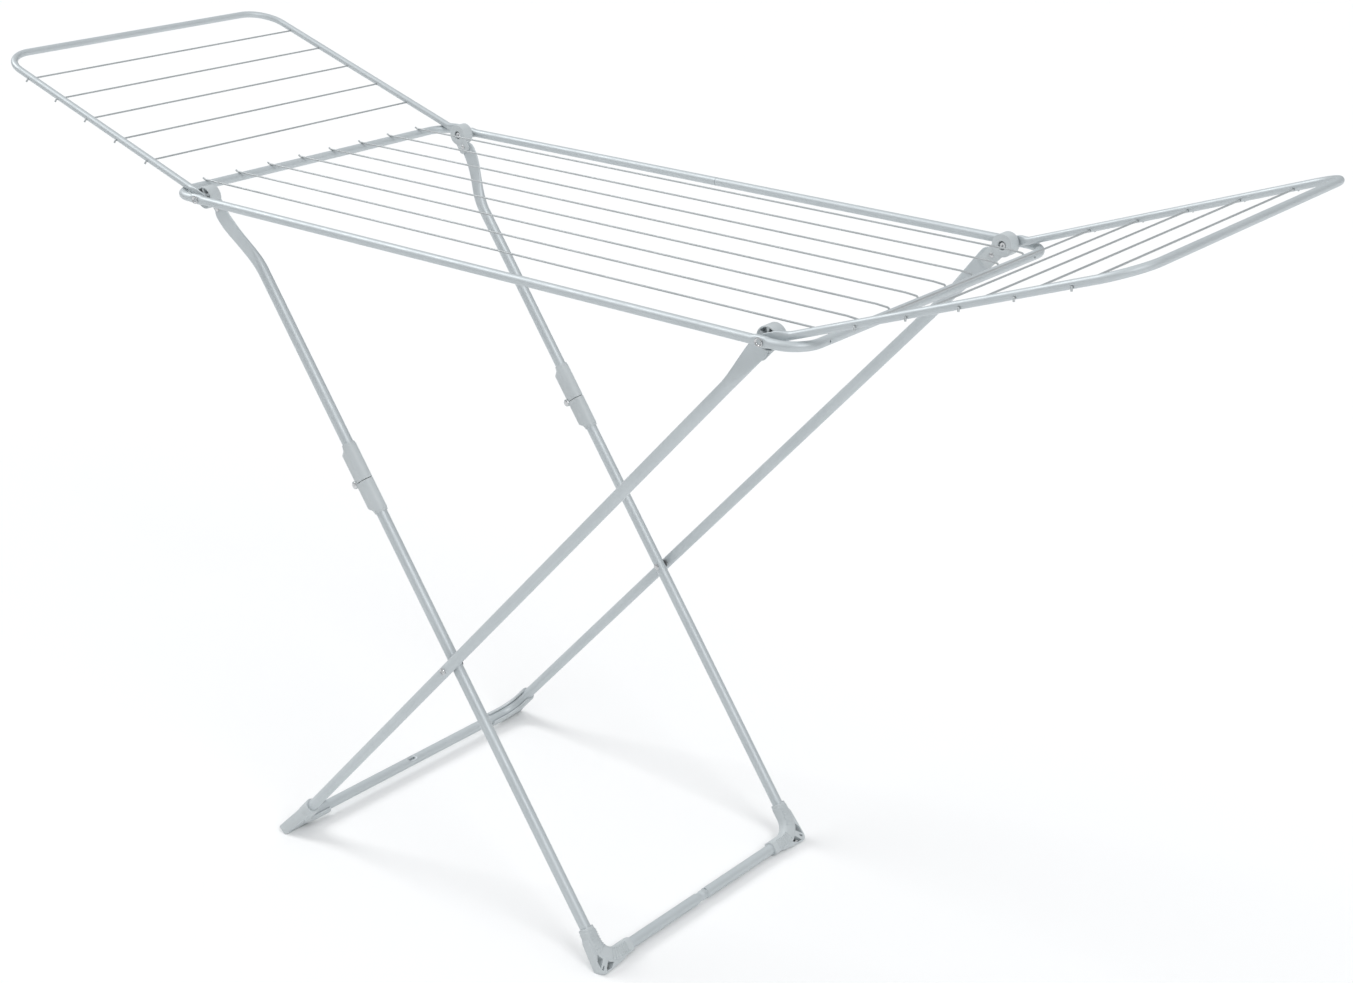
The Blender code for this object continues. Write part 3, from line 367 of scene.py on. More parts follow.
def rounded_route(corners, radius, steps=CORNER_STEPS):
    """The points of a line through the corners, with each inner corner rounded."""
    route = [Vector(corners[0])]
    for before, corner, after in zip(corners, corners[1:], corners[2:]):
        corner = Vector(corner)
        toward_before = (Vector(before) - corner).normalized()
        toward_after = (Vector(after) - corner).normalized()
        half = toward_before.angle(toward_after) / 2
        centre = corner + (toward_before + toward_after).normalized() * (radius / math.sin(half))
        start = corner + toward_before * (radius / math.tan(half)) - centre
        axis = toward_before.cross(toward_after)
        for step in range(steps + 1):
            turn = -(math.pi - 2 * half) * step / steps
            route.append(centre + Matrix.Rotation(turn, 3, axis) @ start)
    route.append(Vector(corners[-1]))
    return route


def directions_along(points, wide):
    """A (wide, thick) pair of directions at every point, turned no more than the route turns."""
    tangents = []
    for i, point in enumerate(points):
        ahead = (points[min(i + 1, len(points) - 1)] - point).normalized()
        behind = (point - points[max(i - 1, 0)]).normalized()
        tangents.append((ahead + behind).normalized())
    wide = Vector(wide)
    wide = (wide - wide.project(tangents[0])).normalized()
    pairs = []
    for i, tangent in enumerate(tangents):
        if i:
            wide = tangents[i - 1].rotation_difference(tangent) @ wide
        pairs.append((wide.copy(), tangent.cross(wide)))
    return pairs


def pressed(half_wide, half_thick, count=TUBE_RING):
    """Points round a tube's section: a circle, or a pressed tube with two flats and round edges."""
    run = max(half_wide - half_thick, 0)
    points = []
    for i in range(count):
        angle = 2 * math.pi * (i + 0.5) / count
        points.append((math.copysign(run, math.cos(angle)) + half_thick * math.cos(angle),
                       half_thick * math.sin(angle)))
    return points


def draw_along(name, points, sections, wide=(0, 0, 1)):
    """Extrude a ring of points from station to station, and close both ends."""
    points = [Vector(p) for p in points]
    count = len(sections[0])
    bpy.ops.object.select_all(action="DESELECT")
    bpy.ops.mesh.primitive_circle_add(vertices=count, radius=1, fill_type="NOTHING")
    obj = bpy.context.object
    obj.name = name
    bpy.ops.object.mode_set(mode="EDIT")
    bpy.ops.mesh.select_mode(type="VERT")
    bpy.ops.mesh.select_all(action="SELECT")
    mesh = bmesh.from_edit_mesh(obj.data)
    number = mesh.verts.layers.int.new("place_in_ring")
    for i, vert in enumerate(mesh.verts):
        vert[number] = i
    for station, (point, section, (across, up)) in enumerate(
            zip(points, sections, directions_along(points, wide))):
        if station:
            bpy.ops.mesh.extrude_region()
        mesh = bmesh.from_edit_mesh(obj.data)
        number = mesh.verts.layers.int["place_in_ring"]
        for vert in mesh.verts:
            if vert.select:
                a, b = section[vert[number]]
                vert.co = point + across * a + up * b
        bmesh.update_edit_mesh(obj.data)
    bpy.ops.mesh.select_all(action="SELECT")
    bpy.ops.mesh.fill_holes(sides=0)
    bpy.ops.mesh.normals_make_consistent(inside=False)
    bpy.ops.object.mode_set(mode="OBJECT")
    return obj


def draw_tube(name, stations, count=TUBE_RING):
    """stations: (point, half_wide, half_thick)."""
    return draw_along(name, [s[0] for s in stations], [pressed(s[1], s[2], count) for s in stations])


def turn_round(name, profile, start, direction, steps=32):
    """Spin a profile of (distance, radius) pairs round an axis, as on a lathe."""
    direction = Vector(direction).normalized()
    across = direction.orthogonal().normalized()
    start = Vector(start)
    points = [start + direction * distance + across * radius for distance, radius in profile]
    mesh = bpy.data.meshes.new(name)
    mesh.from_pydata(points, [(i, i + 1) for i in range(len(points) - 1)], [])
    obj = bpy.data.objects.new(name, mesh)
    bpy.context.scene.collection.objects.link(obj)
    edit(obj)
    bpy.ops.mesh.spin(steps=steps, angle=2 * math.pi, center=start, axis=direction)
    bpy.ops.mesh.select_all(action="SELECT")
    bpy.ops.mesh.remove_doubles(threshold=1e-6)
    bpy.ops.mesh.normals_make_consistent(inside=False)
    bpy.ops.object.mode_set(mode="OBJECT")
    return obj


def raise_plate(name, outline, origin, a_axis, b_axis, depth, edge=0.0):
    """Extrude a flat outline of (a, b) points by a depth vector, and round its edges."""
    origin, a_axis, b_axis = Vector(origin), Vector(a_axis), Vector(b_axis)
    points = [origin + a_axis * a + b_axis * b for a, b in outline]
    mesh = bpy.data.meshes.new(name)
    mesh.from_pydata(points, [], [list(range(len(points)))])
    obj = bpy.data.objects.new(name, mesh)
    bpy.context.scene.collection.objects.link(obj)
    edit(obj)
    bpy.ops.mesh.extrude_region_move(TRANSFORM_OT_translate={"value": Vector(depth)})
    bpy.ops.mesh.select_all(action="SELECT")
    bpy.ops.mesh.normals_make_consistent(inside=False)
    bpy.ops.object.mode_set(mode="OBJECT")
    if edge:
        soften(obj, edge)
    return obj


def arc(centre, radius, start, stop, steps):
    """Points on an arc, by angles in degrees."""
    points = []
    for i in range(steps + 1):
        angle = math.radians(start + (stop - start) * i / steps)
        points.append((centre[0] + radius * math.cos(angle), centre[1] + radius * math.sin(angle)))
    return points


def ease(x, start, stop):
    share = min(max((x - start) / (stop - start), 0), 1)
    return share * share * (3 - 2 * share)


def blend(a, b, share):
    return a + (b - a) * share


def bore(start, stop, radius, steps=16):
    """A cylinder to drill a hole with."""
    run = Vector(stop) - Vector(start)
    return turn_round("drill", [(0, 0), (0, radius), (run.length, radius), (run.length, 0)], start, run,
                      steps)


# %% [markdown]
# The deck's frame is one tube bent to a rectangle with small round corners. Each long rail is pressed
# flatter where a hinge rivet goes through it. The cross wires enter holes drilled in the right bar.

# %% Deck frame
DECK_R = 0.0060
DECK_CORNER_R = 0.036
WIRE_R = 0.00125
SEAM = 0.0003
PRESSED_HIGH, PRESSED_THICK, PRESSED_HALF = 0.0070, 0.0046, 0.0075
rail_low, rail_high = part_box("deck_frame")
deck_y = rail_high.y - DECK_R
deck_end = (rail_high.x - rail_low.x) / 2 - DECK_R
wire_rows = [middle(f"deck_wire_{n}").y for n in range(1, 9)]


def rail_stations(start, stop, y):
    """Stations along a straight rail, with the pressed places eased in and out."""
    heading = math.copysign(1, stop - start)
    found = []
    for pivot in sorted((-pivot_half, pivot_half), key=lambda x: x * heading):
        if min(start, stop) < pivot < max(start, stop):
            for offset in (-0.014, -0.012, -0.0105, -0.009, -PRESSED_HALF, -0.004, 0.004,
                           PRESSED_HALF, 0.009, 0.0105, 0.012, 0.014):
                share = 1 - ease(abs(offset), PRESSED_HALF - 0.001, 0.0125)
                found.append((Vector((pivot + offset * heading, y, 0)),
                              blend(DECK_R, PRESSED_HIGH, share), blend(DECK_R, PRESSED_THICK, share)))
    return found


corners = [(-SEAM, deck_y, 0), (-deck_end, deck_y, 0), (-deck_end, -deck_y, 0), (deck_end, -deck_y, 0),
           (deck_end, deck_y, 0), (SEAM, deck_y, 0)]
route = rounded_route(corners, DECK_CORNER_R)
stations = [(route[0], DECK_R, DECK_R)]
for before, point in zip(route, route[1:]):
    if abs(before.y - point.y) < 1e-6 and abs(before.x - point.x) > 0.1:
        stations += rail_stations(before.x, point.x, point.y)
    stations.append((point, DECK_R, DECK_R))
deck = draw_tube("deck_frame_piece", stations)

shoulder = Vector((-1, 0, 1)).normalized()
entry = Vector((deck_end, 0, 0)) + shoulder * (DECK_R + 2 * WIRE_R)
entry_in = Vector((deck_end, 0, 0)) + shoulder * (DECK_R * 0.6)
holes = [bore(entry_in + Vector((0, row, 0)), entry + Vector((0, row, 0)), WIRE_R + 0.0006, 12)
         for row in wire_rows]
for side in (-1, 1):
    y = side * (deck_y - DECK_CORNER_R - 0.012)
    holes.append(bore((deck_end + DECK_R * 0.4, y, 0), (deck_end + DECK_R * 2, y, 0), 0.0016, 14))
cut_away(deck, gather(*holes))
place(deck, FRAMES["deck"])
done(deck, "coated_tube", "deck", "deck_frame")
print("deck frame", len(deck.data.polygons), "faces")

# %% [markdown]
# Eight wires run the length of the deck. At the left each one lies over the bar and its cut tip points up
# and outward. At the right it dips into its hole. One wire is drawn and copied to the other rows.

# %% Deck wires
over_bar = DECK_R + 0.0003 + WIRE_R
wire_points = rounded_route(
    [(-deck_end - DECK_R, 0, over_bar + 0.0018), (-deck_end - DECK_R * 0.4, 0, over_bar),
     tuple(entry + Vector((-0.016, 0, 0.0012))), tuple(entry), tuple(entry_in)], 0.0012, 3)
for number, row in enumerate(wire_rows, 1):
    shifted = [p + Vector((0, row, 0)) for p in wire_points]
    ends = [(shifted[0], WIRE_R * 0.75, WIRE_R * 0.75)]
    ends.append((blend(shifted[0], shifted[1], 0.12), WIRE_R, WIRE_R))
    rings = ends + [(p, WIRE_R, WIRE_R) for p in shifted[1:]]
    wire = place(draw_tube(f"deck_wire_{number}_piece", rings, WIRE_RING), FRAMES["deck"])
    done(wire, "coated_wire", "deck", f"deck_wire_{number}")
print("deck wires at", [round(row, 4) for row in wire_rows])

# %% [markdown]
# A wing is a tube bent to a wide U whose two ends are pressed flat and hang on the hinge rivets, tucked
# inside the deck rails. Five wires cross it, pass through the rails and end in a small hook.

# %% Wings
WING_LENGTH = 0.476
WING_Y = 0.2520
WING_CORNER_R = 0.048
PLATE_Y, PLATE_HALF_WIDE, PLATE_HALF_THICK = 0.2583, 0.0073, 0.0013
PLATE_TO, WING_ROUND_FROM = 0.0135, 0.0350
WING_WIRE_DROP = 0.0020


def round_tip(start, half_wide, half_thick, steps=7):
    """(distance, half_wide) pairs that round off a flattened end, from its tip."""
    pairs = []
    for step in range(steps):
        angle = math.radians(86 - 86 * step / steps)
        pairs.append((start - half_wide * math.sin(angle), max(half_wide * math.cos(angle), half_thick)))
    return pairs


def wing_end():
    """Stations of a wing's flattened end, from its tip to where the tube is round."""
    found = [(x, PLATE_Y, 0.0, wide, PLATE_HALF_THICK) for x, wide in
             round_tip(0, PLATE_HALF_WIDE, PLATE_HALF_THICK)]
    for step in range(0, 21):
        x = WING_ROUND_FROM * step / 20
        opened = ease(x, PLATE_TO, WING_ROUND_FROM)
        found.append((x, blend(PLATE_Y, WING_Y, opened), -WING_DROP * opened,
                      blend(PLATE_HALF_WIDE, WING_TUBE_R, opened), blend(PLATE_HALF_THICK, WING_TUBE_R,
                                                                         opened)))
    return found


def draw_wing(side):
    near = [(Vector((x, -y, z)), wide, thick) for x, y, z, wide, thick in wing_end()]
    far = [(Vector((x, y, z)), wide, thick) for x, y, z, wide, thick in reversed(wing_end())]
    corners = [near[-1][0], (WING_LENGTH, -WING_Y, -WING_DROP), (WING_LENGTH, WING_Y, -WING_DROP), far[0][0]]
    bend = [(p, WING_TUBE_R, WING_TUBE_R) for p in rounded_route(corners, WING_CORNER_R)[1:-1]]
    wing = draw_tube(f"{side}_wing_frame_piece", near + bend + far, 24)
    level = -WING_DROP - WING_WIRE_DROP
    to_local = FRAMES[side].inverted()
    places = [(to_local @ middle(f"{side}_wing_wire_{n}")).x for n in range(1, 6)]
    reach = WING_Y + 2 * WING_TUBE_R
    holes = []
    for x in places:
        for y in (-1, 1):
            holes.append(bore((x, y * (WING_Y + WING_TUBE_R * 0.5), level), (x, y * reach, level),
                              WIRE_R + 0.0005, 12))
            holes.append(bore((x, y * (WING_Y - WING_TUBE_R * 0.5), level), (x,
                                                                             y * (WING_Y - 2 * WING_TUBE_R),
                              level), WIRE_R + 0.0005, 12))
    cut_away(wing, gather(*holes))
    done(place(wing, FRAMES[side]), "coated_tube", f"{side}_wing", f"{side}_wing_frame")
    beyond = WING_Y + WING_TUBE_R + 0.5 * WIRE_R
    hook = (beyond + 1.6 * WIRE_R, level - 3.2 * WIRE_R)
    for number, x in enumerate(places, 1):
        points = rounded_route([(x, -hook[0], hook[1]), (x, -beyond, level), (x, beyond, level),
                                (x, hook[0], hook[1])], 0.0014, 3)
        wire = draw_tube("wing_wire", [(p, WIRE_R, WIRE_R) for p in points], WIRE_RING)
        wire.name = f"{side}_wing_wire_{number}_piece"
        done(place(wire, FRAMES[side]), "coated_wire", f"{side}_wing", f"{side}_wing_wire_{number}")
    return wing


for side in ("left", "right"):
    wing = draw_wing(side)
    print(side, "wing", len(wing.data.polygons), "faces")

# %% [markdown]
# The outer legs and their bottom bar are one bent frame. Each top is pressed to a flat tongue, straight on
# its lower side and flared on its upper side. The bar has a pressed oval with a slot in the middle of it.

# %% Outer leg frame
LEG_R = 0.0080
OUTER_Y, INNER_Y, TONGUE_Y = 0.2380, 0.2190, 0.2428
LEG_CORNER_R = 0.030
TONGUE_TIP, TONGUE_HALF_WIDE, TONGUE_HALF_THICK, TONGUE_RISE = 0.0160, 0.0130, 0.0015, 0.0030
FLAT_TO, ROUND_FROM = 0.0300, 0.1050
BEND_FROM, BEND_TO = 0.0280, 0.1250


def outer_y(x):
    return blend(TONGUE_Y, OUTER_Y, ease(x, FLAT_TO, ROUND_FROM))


def inner_y(x):
    return blend(TONGUE_Y, INNER_Y, ease(x, BEND_FROM, BEND_TO))


def leg_top(upper, y_at, flat_to, round_from):
    """Stations of a leg's flattened top as (x, y, z, half_wide, half_thick), from its tip."""
    found = [(x, y_at(x), upper * TONGUE_RISE, wide, TONGUE_HALF_THICK) for x, wide in
             round_tip(TONGUE_TIP + TONGUE_HALF_WIDE, TONGUE_HALF_WIDE, TONGUE_HALF_THICK)]
    for step in range(25):
        x = blend(TONGUE_TIP + TONGUE_HALF_WIDE, round_from, step / 24)
        opened = min(max((x - flat_to) / (round_from - flat_to), 0), 1)
        opened = blend(opened, ease(x, flat_to, round_from), 0.35)
        thick_share = ease(x, flat_to + 0.010, round_from)
        found.append((x, y_at(x), upper * TONGUE_RISE * (1 - opened),
                      blend(TONGUE_HALF_WIDE, LEG_R, opened), blend(TONGUE_HALF_THICK, LEG_R, thick_share)))
    return found


def near_side(rows):
    return [(Vector((x, -y, z)), wide, thick) for x, y, z, wide, thick in rows]


def far_side(rows):
    return [(Vector((x, y, z)), wide, thick) for x, y, z, wide, thick in reversed(rows)]


top = leg_top(-1, outer_y, FLAT_TO, ROUND_FROM)
corners = [(ROUND_FROM, -OUTER_Y, 0), (OUTER_LENGTH, -OUTER_Y, 0), (OUTER_LENGTH, OUTER_Y, 0),
           (ROUND_FROM, OUTER_Y, 0)]
round_part = [(p, LEG_R, LEG_R) for p in rounded_route(corners, LEG_CORNER_R)[1:-1]]
outer = draw_tube("outer_leg_frame_piece", near_side(top) + round_part + far_side(top))
place(outer, FRAMES["outer"])
DISH_TILT = math.radians(27)
facing = Vector((math.sin(DISH_TILT), 0, math.cos(DISH_TILT)))
bpy.ops.mesh.primitive_uv_sphere_add(segments=32, ring_count=16, radius=1,
                                     location=outer_bar + facing * 0.0085,
                                     rotation=(0, DISH_TILT, 0))
dish = bpy.context.object
dish.scale = (0.0066, 0.0095, 0.0034)
bpy.ops.mesh.primitive_cube_add(size=1, location=outer_bar + facing * 0.0042, rotation=(0, DISH_TILT, 0))
slot_cutter = bpy.context.object
slot_cutter.scale = (0.0036, 0.0115, 0.0060)
cut_away(outer, dish, slot_cutter)
done(outer, "coated_tube", "outer_legs", "outer_leg_near", "outer_leg_far", "outer_bar_joiner")
print("outer frame", len(outer.data.polygons), "faces")

# %% [markdown]
# The inner legs are in two lengths. The upper ones have the same flat tops but bend inward below them, so
# that the frames can cross. The lower ones meet in a bottom bar whose middle is necked where it is joined.

# %% Inner legs
SPLIT = 0.0004
INNER_FLAT_TO = 0.0480
NECK_R = 0.0068
top = leg_top(1, inner_y, INNER_FLAT_TO, BEND_TO)
top.append((knuckle.x - SPLIT, INNER_Y, 0, LEG_R, LEG_R))
upper = place(draw_tube("inner_upper_leg", near_side(top)), FRAMES["inner"])
pair(upper, "coated_tube", "inner_upper_legs", "inner_upper_leg")

corners = [(knuckle.x + SPLIT, -INNER_Y, 0), (INNER_LENGTH, -INNER_Y, 0), (INNER_LENGTH, INNER_Y, 0),
           (knuckle.x + SPLIT, INNER_Y, 0)]
lower_route = rounded_route(corners, LEG_CORNER_R)
half = len(lower_route) // 2
stations = [(p, LEG_R, LEG_R) for p in lower_route[:half]]
for y, radius in ((-0.016, LEG_R), (-0.013, LEG_R), (-0.0095, NECK_R), (-0.004, NECK_R), (-0.003,
                                                                                          NECK_R + 0.0005),
                  (0.001, NECK_R + 0.0005), (0.002, NECK_R), (0.0065, NECK_R), (0.007, LEG_R), (0.010,
                                                                                                LEG_R)):
    stations.append((Vector((INNER_LENGTH, y, 0)), radius, radius))
stations += [(p, LEG_R, LEG_R) for p in lower_route[half:]]
lower = place(draw_tube("inner_lower_frame_piece", stations), FRAMES["inner"])
bpy.ops.mesh.primitive_cube_add(size=1, location=inner_bar + Vector((0, 0.0068, LEG_R)))
notch = bpy.context.object
notch.scale = (0.004, 0.0016, 0.005)
cut_away(lower, notch)
done(lower, "coated_tube", "inner_lower_legs", "inner_lower_leg_near", "inner_lower_leg_far",
     "inner_bar_joiner")
print("inner frame", len(lower.data.polygons), "faces")

# %% [markdown]
# A plastic shell on each leg top turns on the hinge rivet. Its outer side is a shallow cup with ribs, its
# inner side is plain with a dark recess round the rivet, and a tail runs down the flat of the leg.

# %% Hinge shells
SHELL_R, HUB_R, RIM, RECESS_R, RECESS = 0.0155, 0.0068, 0.0022, 0.0062, 0.0036
SHELL_IN, SHELL_OUT, TAIL_Y, CUP_FLOOR = 0.2379, 0.2566, 0.2409, 0.2490
GROOVE = 0.0095
TAIL_HALF_WIDE = 0.0108


def ring_sector(inner_r, outer_r, start, stop, y_from, y_to):
    outline = arc((0, 0), outer_r, start, stop, 8) + arc((0, 0), inner_r, stop, start, 8)
    return raise_plate("rib", outline, (0, -y_from, 0), (1, 0, 0), (0, 0, 1), (0, y_from - y_to, 0), 0.0003)


def draw_shell(tail):
    deep = SHELL_OUT - SHELL_IN
    floor_at = CUP_FLOOR - SHELL_IN
    wall = SHELL_R - RIM
    profile = [(RECESS, 0), (RECESS, 0.0046), (GROOVE, 0.0047), (GROOVE, RECESS_R - 0.0001), (0.0003,
                                                                                              RECESS_R),
               (0, RECESS_R + 0.0004), (0, SHELL_R - 0.0012), (0.0004, SHELL_R - 0.0004), (0.0012, SHELL_R),
               (deep - 0.0006, SHELL_R), (deep, SHELL_R - 0.0006), (deep, wall + 0.0004), (deep - 0.0004,
                                                                                           wall),
               (floor_at, wall - 0.0003), (floor_at, HUB_R + 0.0002), (deep - 0.0004, HUB_R),
               (deep, HUB_R - 0.0004), (deep, 0)]
    shell = turn_round("hinge_shell", profile, (0, -SHELL_IN, 0), (0, -1, 0), 48)
    corner = TAIL_HALF_WIDE * 0.45
    outline = [(0.0085, TAIL_HALF_WIDE), (0.0085, -TAIL_HALF_WIDE)]
    outline += arc((tail - corner, -TAIL_HALF_WIDE + corner), corner, 270, 360, 8)
    outline += arc((tail - corner, TAIL_HALF_WIDE - corner), corner, 0, 90, 8)
    bodies = [raise_plate("tail", outline, (0, -SHELL_IN - 0.0002, 0), (1, 0, 0), (0, 0, 1),
                          (0, SHELL_IN - TAIL_Y, 0), 0.0005)]
    for start, stop in ((78, 96), (144, 162), (210, 228), (276, 390)):
        bodies.append(ring_sector(HUB_R - 0.001, wall + 0.001, start, stop, CUP_FLOOR - 0.001,
                                  SHELL_OUT - 0.0004))
    return gather(shell, *bodies)


def rivet_profile(shank, head_r, length):
    """A rivet with a domed head at each end, with a dimple in the first one."""
    rise = 0.0014
    return [(0.0004, 0), (0.0004, head_r * 0.16), (0, head_r * 0.30), (0.0002, head_r * 0.62),
            (rise * 0.45, head_r * 0.90), (rise * 0.8, head_r), (rise, head_r), (rise, shank),
            (length - rise, shank), (length - rise, head_r), (length - rise * 0.5, head_r * 0.92),
            (length - 0.0001, head_r * 0.5), (length, 0)]


LEG_RIVET_AT = 0.0205
for stem, body, tail in (("outer", "outer_legs", 0.0390), ("inner", "inner_upper_legs", 0.0290)):
    shell = draw_shell(tail)
    lug_at = Matrix.Rotation(math.radians(-60 if stem == "inner" else 62), 3, "Y") @ Vector((-SHELL_R, 0, 0))
    lug = bore((lug_at.x, -SHELL_IN, lug_at.z), (lug_at.x, -SHELL_IN - 0.004, lug_at.z), 0.0022)
    if stem == "outer":
        shell = gather(shell, lug)
        print("stop lug", [round(v, 4) for v in lug_at])
    else:
        bpy.data.objects.remove(lug)
        pin = bore((0.005, -SHELL_IN + 0.001, 0.0078), (0.005, -SHELL_IN - 0.002, 0.0078), 0.0011)
        cut_away(shell, pin)
    pair(place(shell, FRAMES[stem]), "plastic", body, f"{stem}_hinge_shell")
    start = SHELL_IN - 0.0003 - 0.0014
    end = TONGUE_Y + TONGUE_HALF_THICK + 0.0003 + 0.0014
    rivet = turn_round("rivet", rivet_profile(0.0020, 0.0034, end - start), (LEG_RIVET_AT, -start, 0), (0, -1,
                                                                                                        0), 24)
    pair(place(rivet, FRAMES[stem]), "rivet", body, f"{stem}_leg_rivet")

# %% [markdown]
# The hinge rivets are tubular: the outer head is a rolled cup with a deep hole, and the inner head shows
# only a small dimple inside the shell's recess. One is drawn on each pivot and mirrored to the far side.

# %% Hinge rivets
outer_face = deck_y + PRESSED_THICK + 0.0003 + 0.0014
inner_face = SHELL_IN + RECESS - 0.0014 - 0.0003
length = outer_face - inner_face
cup = [(0.0060, 0), (0.0060, 0.0022), (0.0024, 0.0026), (0.0012, 0.0034), (0.0003, 0.0042), (0, 0.0049),
       (0.0003, 0.0055), (0.0008, 0.0057), (0.0014, 0.0056), (0.0014, 0.0030),
       (length - 0.0014, 0.0030), (length - 0.0014, 0.0044), (length - 0.0005, 0.0043), (length, 0.0036),
       (length, 0.0017), (length - 0.0004, 0.0011), (length - 0.0014, 0.0009), (length - 0.0014, 0)]
for stem, pivot in (("hinge_rivet_left", left_pivot), ("hinge_rivet_right", right_pivot)):
    rivet = turn_round("hinge_rivet", cup, (pivot.x, -outer_face, pivot.z), (0, 1, 0), 32)
    pair(rivet, "rivet", "deck", stem)

# %% [markdown]
# Where the frames cross, a rivet with a cupped head goes through both tubes, and a dark bush keeps them
# apart. The rivet is drawn in two halves, one on each frame, so that either frame can turn alone.

# %% Crossing rivets
cross = middle("cross_bush_near")
cross_from = OUTER_Y + LEG_R + 0.0003 + 0.0014
cross_gap = (OUTER_Y + INNER_Y) / 2
reach = cross_from - cross_gap
cross_cup = [(0.0016, 0), (0.0016, 0.0020), (0.0004, 0.0028), (0, 0.0036), (0.0003, 0.0044), (0.0010, 0.0048),
             (0.0017, 0.0048), (0.0017, 0.0025), (reach, 0.0025), (reach, 0)]
rivet = turn_round("cross_outer", cross_cup, (cross.x, -cross_from, cross.z), (0, 1, 0), 32)
pair(rivet, "rivet", "outer_legs", "cross_rivet_outer")
inside = INNER_Y - LEG_R - 0.0003 - 0.0014
dome = [(0, 0), (0.0002, 0.0024), (0.0008, 0.0042), (0.0014, 0.0048), (0.0014, 0.0025),
        (INNER_Y + LEG_R - inside, 0.0025), (INNER_Y + LEG_R - inside, 0)]
rivet = turn_round("cross_inner", dome, (cross.x, -inside, cross.z), (0, -1, 0), 32)
pair(rivet, "rivet", "inner_lower_legs", "cross_rivet_inner")
bush_a, bush_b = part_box("cross_bush_near")
bush_long = bush_b.y - bush_a.y
bush = turn_round("bush", [(0, 0.0028), (0, 0.0058), (0.0004, 0.0062), (bush_long - 0.0004, 0.0062),
                           (bush_long, 0.0058), (bush_long, 0.0028), (0, 0.0028)],
                  (cross.x, bush_a.y, cross.z), (0, 1, 0), 32)
pair(bush, "dark_bush", "outer_legs", "cross_bush")

# %% [markdown]
# The knuckle is a pair of plastic sleeves butted end to end on the split leg. Each has a round back and
# flat flanks that reach down past the tube to the pin. The upper one has a lug between the lower one's ears.

# %% Knuckle sleeves
SLEEVE_R, BORE_R, FLANK_HALF, FLANK_REACH = 0.0102, 0.0083, 0.0086, 0.0150
UPPER_LONG, LOWER_LONG, LUG_R, LUG_HALF = 0.056, 0.050, 0.0057, 0.0028


def sleeve_section(flank, grown=0.0):
    """Round on top, flat-sided below. flank 0 is a plain circle and 1 reaches all the way down."""
    count = 40
    points = []
    corner = 0.0024
    for i in range(count):
        angle = 2 * math.pi * (i + 0.5) / count
        round_point = Vector((math.sin(angle), math.cos(angle))) * (SLEEVE_R + grown)
        low_point = round_point.copy()
        if round_point.y < 0:
            share = (angle - math.pi / 2) / math.pi
            run = [(SLEEVE_R, 0.0), (FLANK_HALF, -0.0066), (FLANK_HALF, -FLANK_REACH + corner),
                   (FLANK_HALF - corner * 0.3, -FLANK_REACH + corner * 0.3), (FLANK_HALF - corner,
                                                                              -FLANK_REACH),
                   (0.0, -FLANK_REACH)]
            stops = [0, 0.16, 0.34, 0.38, 0.42, 0.5]
            at = share if share <= 0.5 else 1 - share
            for (s0, s1), (p0, p1) in zip(zip(stops, stops[1:]), zip(run, run[1:])):
                if s0 <= at <= s1:
                    part = (at - s0) / (s1 - s0)
                    low_point = Vector((blend(p0[0], p1[0], part), blend(p0[1], p1[1], part)))
            if share > 0.5:
                low_point.x = -low_point.x
            low_point = low_point * (1 + grown / SLEEVE_R)
        point = round_point.lerp(low_point, flank)
        points.append((point.y, point.x))
    return points


def draw_sleeve(name, x_split, x_end):
    """A sleeve along the leg, with a small step at its far end, in the leg's frame."""
    heading = math.copysign(1, x_end - x_split)
    long = abs(x_end - x_split)
    rows = [(0, 0, "bore"), (0, 1, -0.0004), (0.0004, 1, 0)]
    for step in range(9):
        share = step / 8
        rows.append((blend(long - 0.0125, long - 0.0040, share), 1 - ease(share, 0, 1), 0))
    rows += [(long - 0.0036, 0, 0), (long - 0.0033, 0, -0.0006), (long - 0.0003, 0, -0.0006),
             (long, 0, -0.0009), (long, 0, "bore")]
    points, sections = [], []
    for x, flank, grown in rows:
        points.append(Vector((x_split + heading * x, -INNER_Y, 0)))
        if grown == "bore":
            sections.append([(a * 0.55, b * 0.55) for a, b in sleeve_section(0)])
        else:
            sections.append(sleeve_section(flank, grown))
    for i in range(1, len(points)):
        if abs(points[i].x - points[i - 1].x) < 1e-5:
            points[i].x += heading * 1e-5
    return draw_along(name, points, sections, (0, 0, 1))


def boss(half, radius, y_from=0.0):
    return [bore((knuckle.x, -INNER_Y + side * y_from, knuckle.z), (knuckle.x, -INNER_Y + side * half,
                                                                    knuckle.z),
                 radius, 32) for side in (-1, 1)]


upper = draw_sleeve("upper_sleeve", knuckle.x - SPLIT, knuckle.x - UPPER_LONG)
cut_away(upper, *boss(0.02, LUG_R + 0.0008, LUG_HALF))
gather(upper, bore((knuckle.x, -INNER_Y - LUG_HALF + 0.0003, knuckle.z),
                   (knuckle.x, -INNER_Y + LUG_HALF - 0.0003, knuckle.z), LUG_R, 32))
place(upper, FRAMES["inner"])
pair(upper, "plastic", "inner_upper_legs", "upper_sleeve")

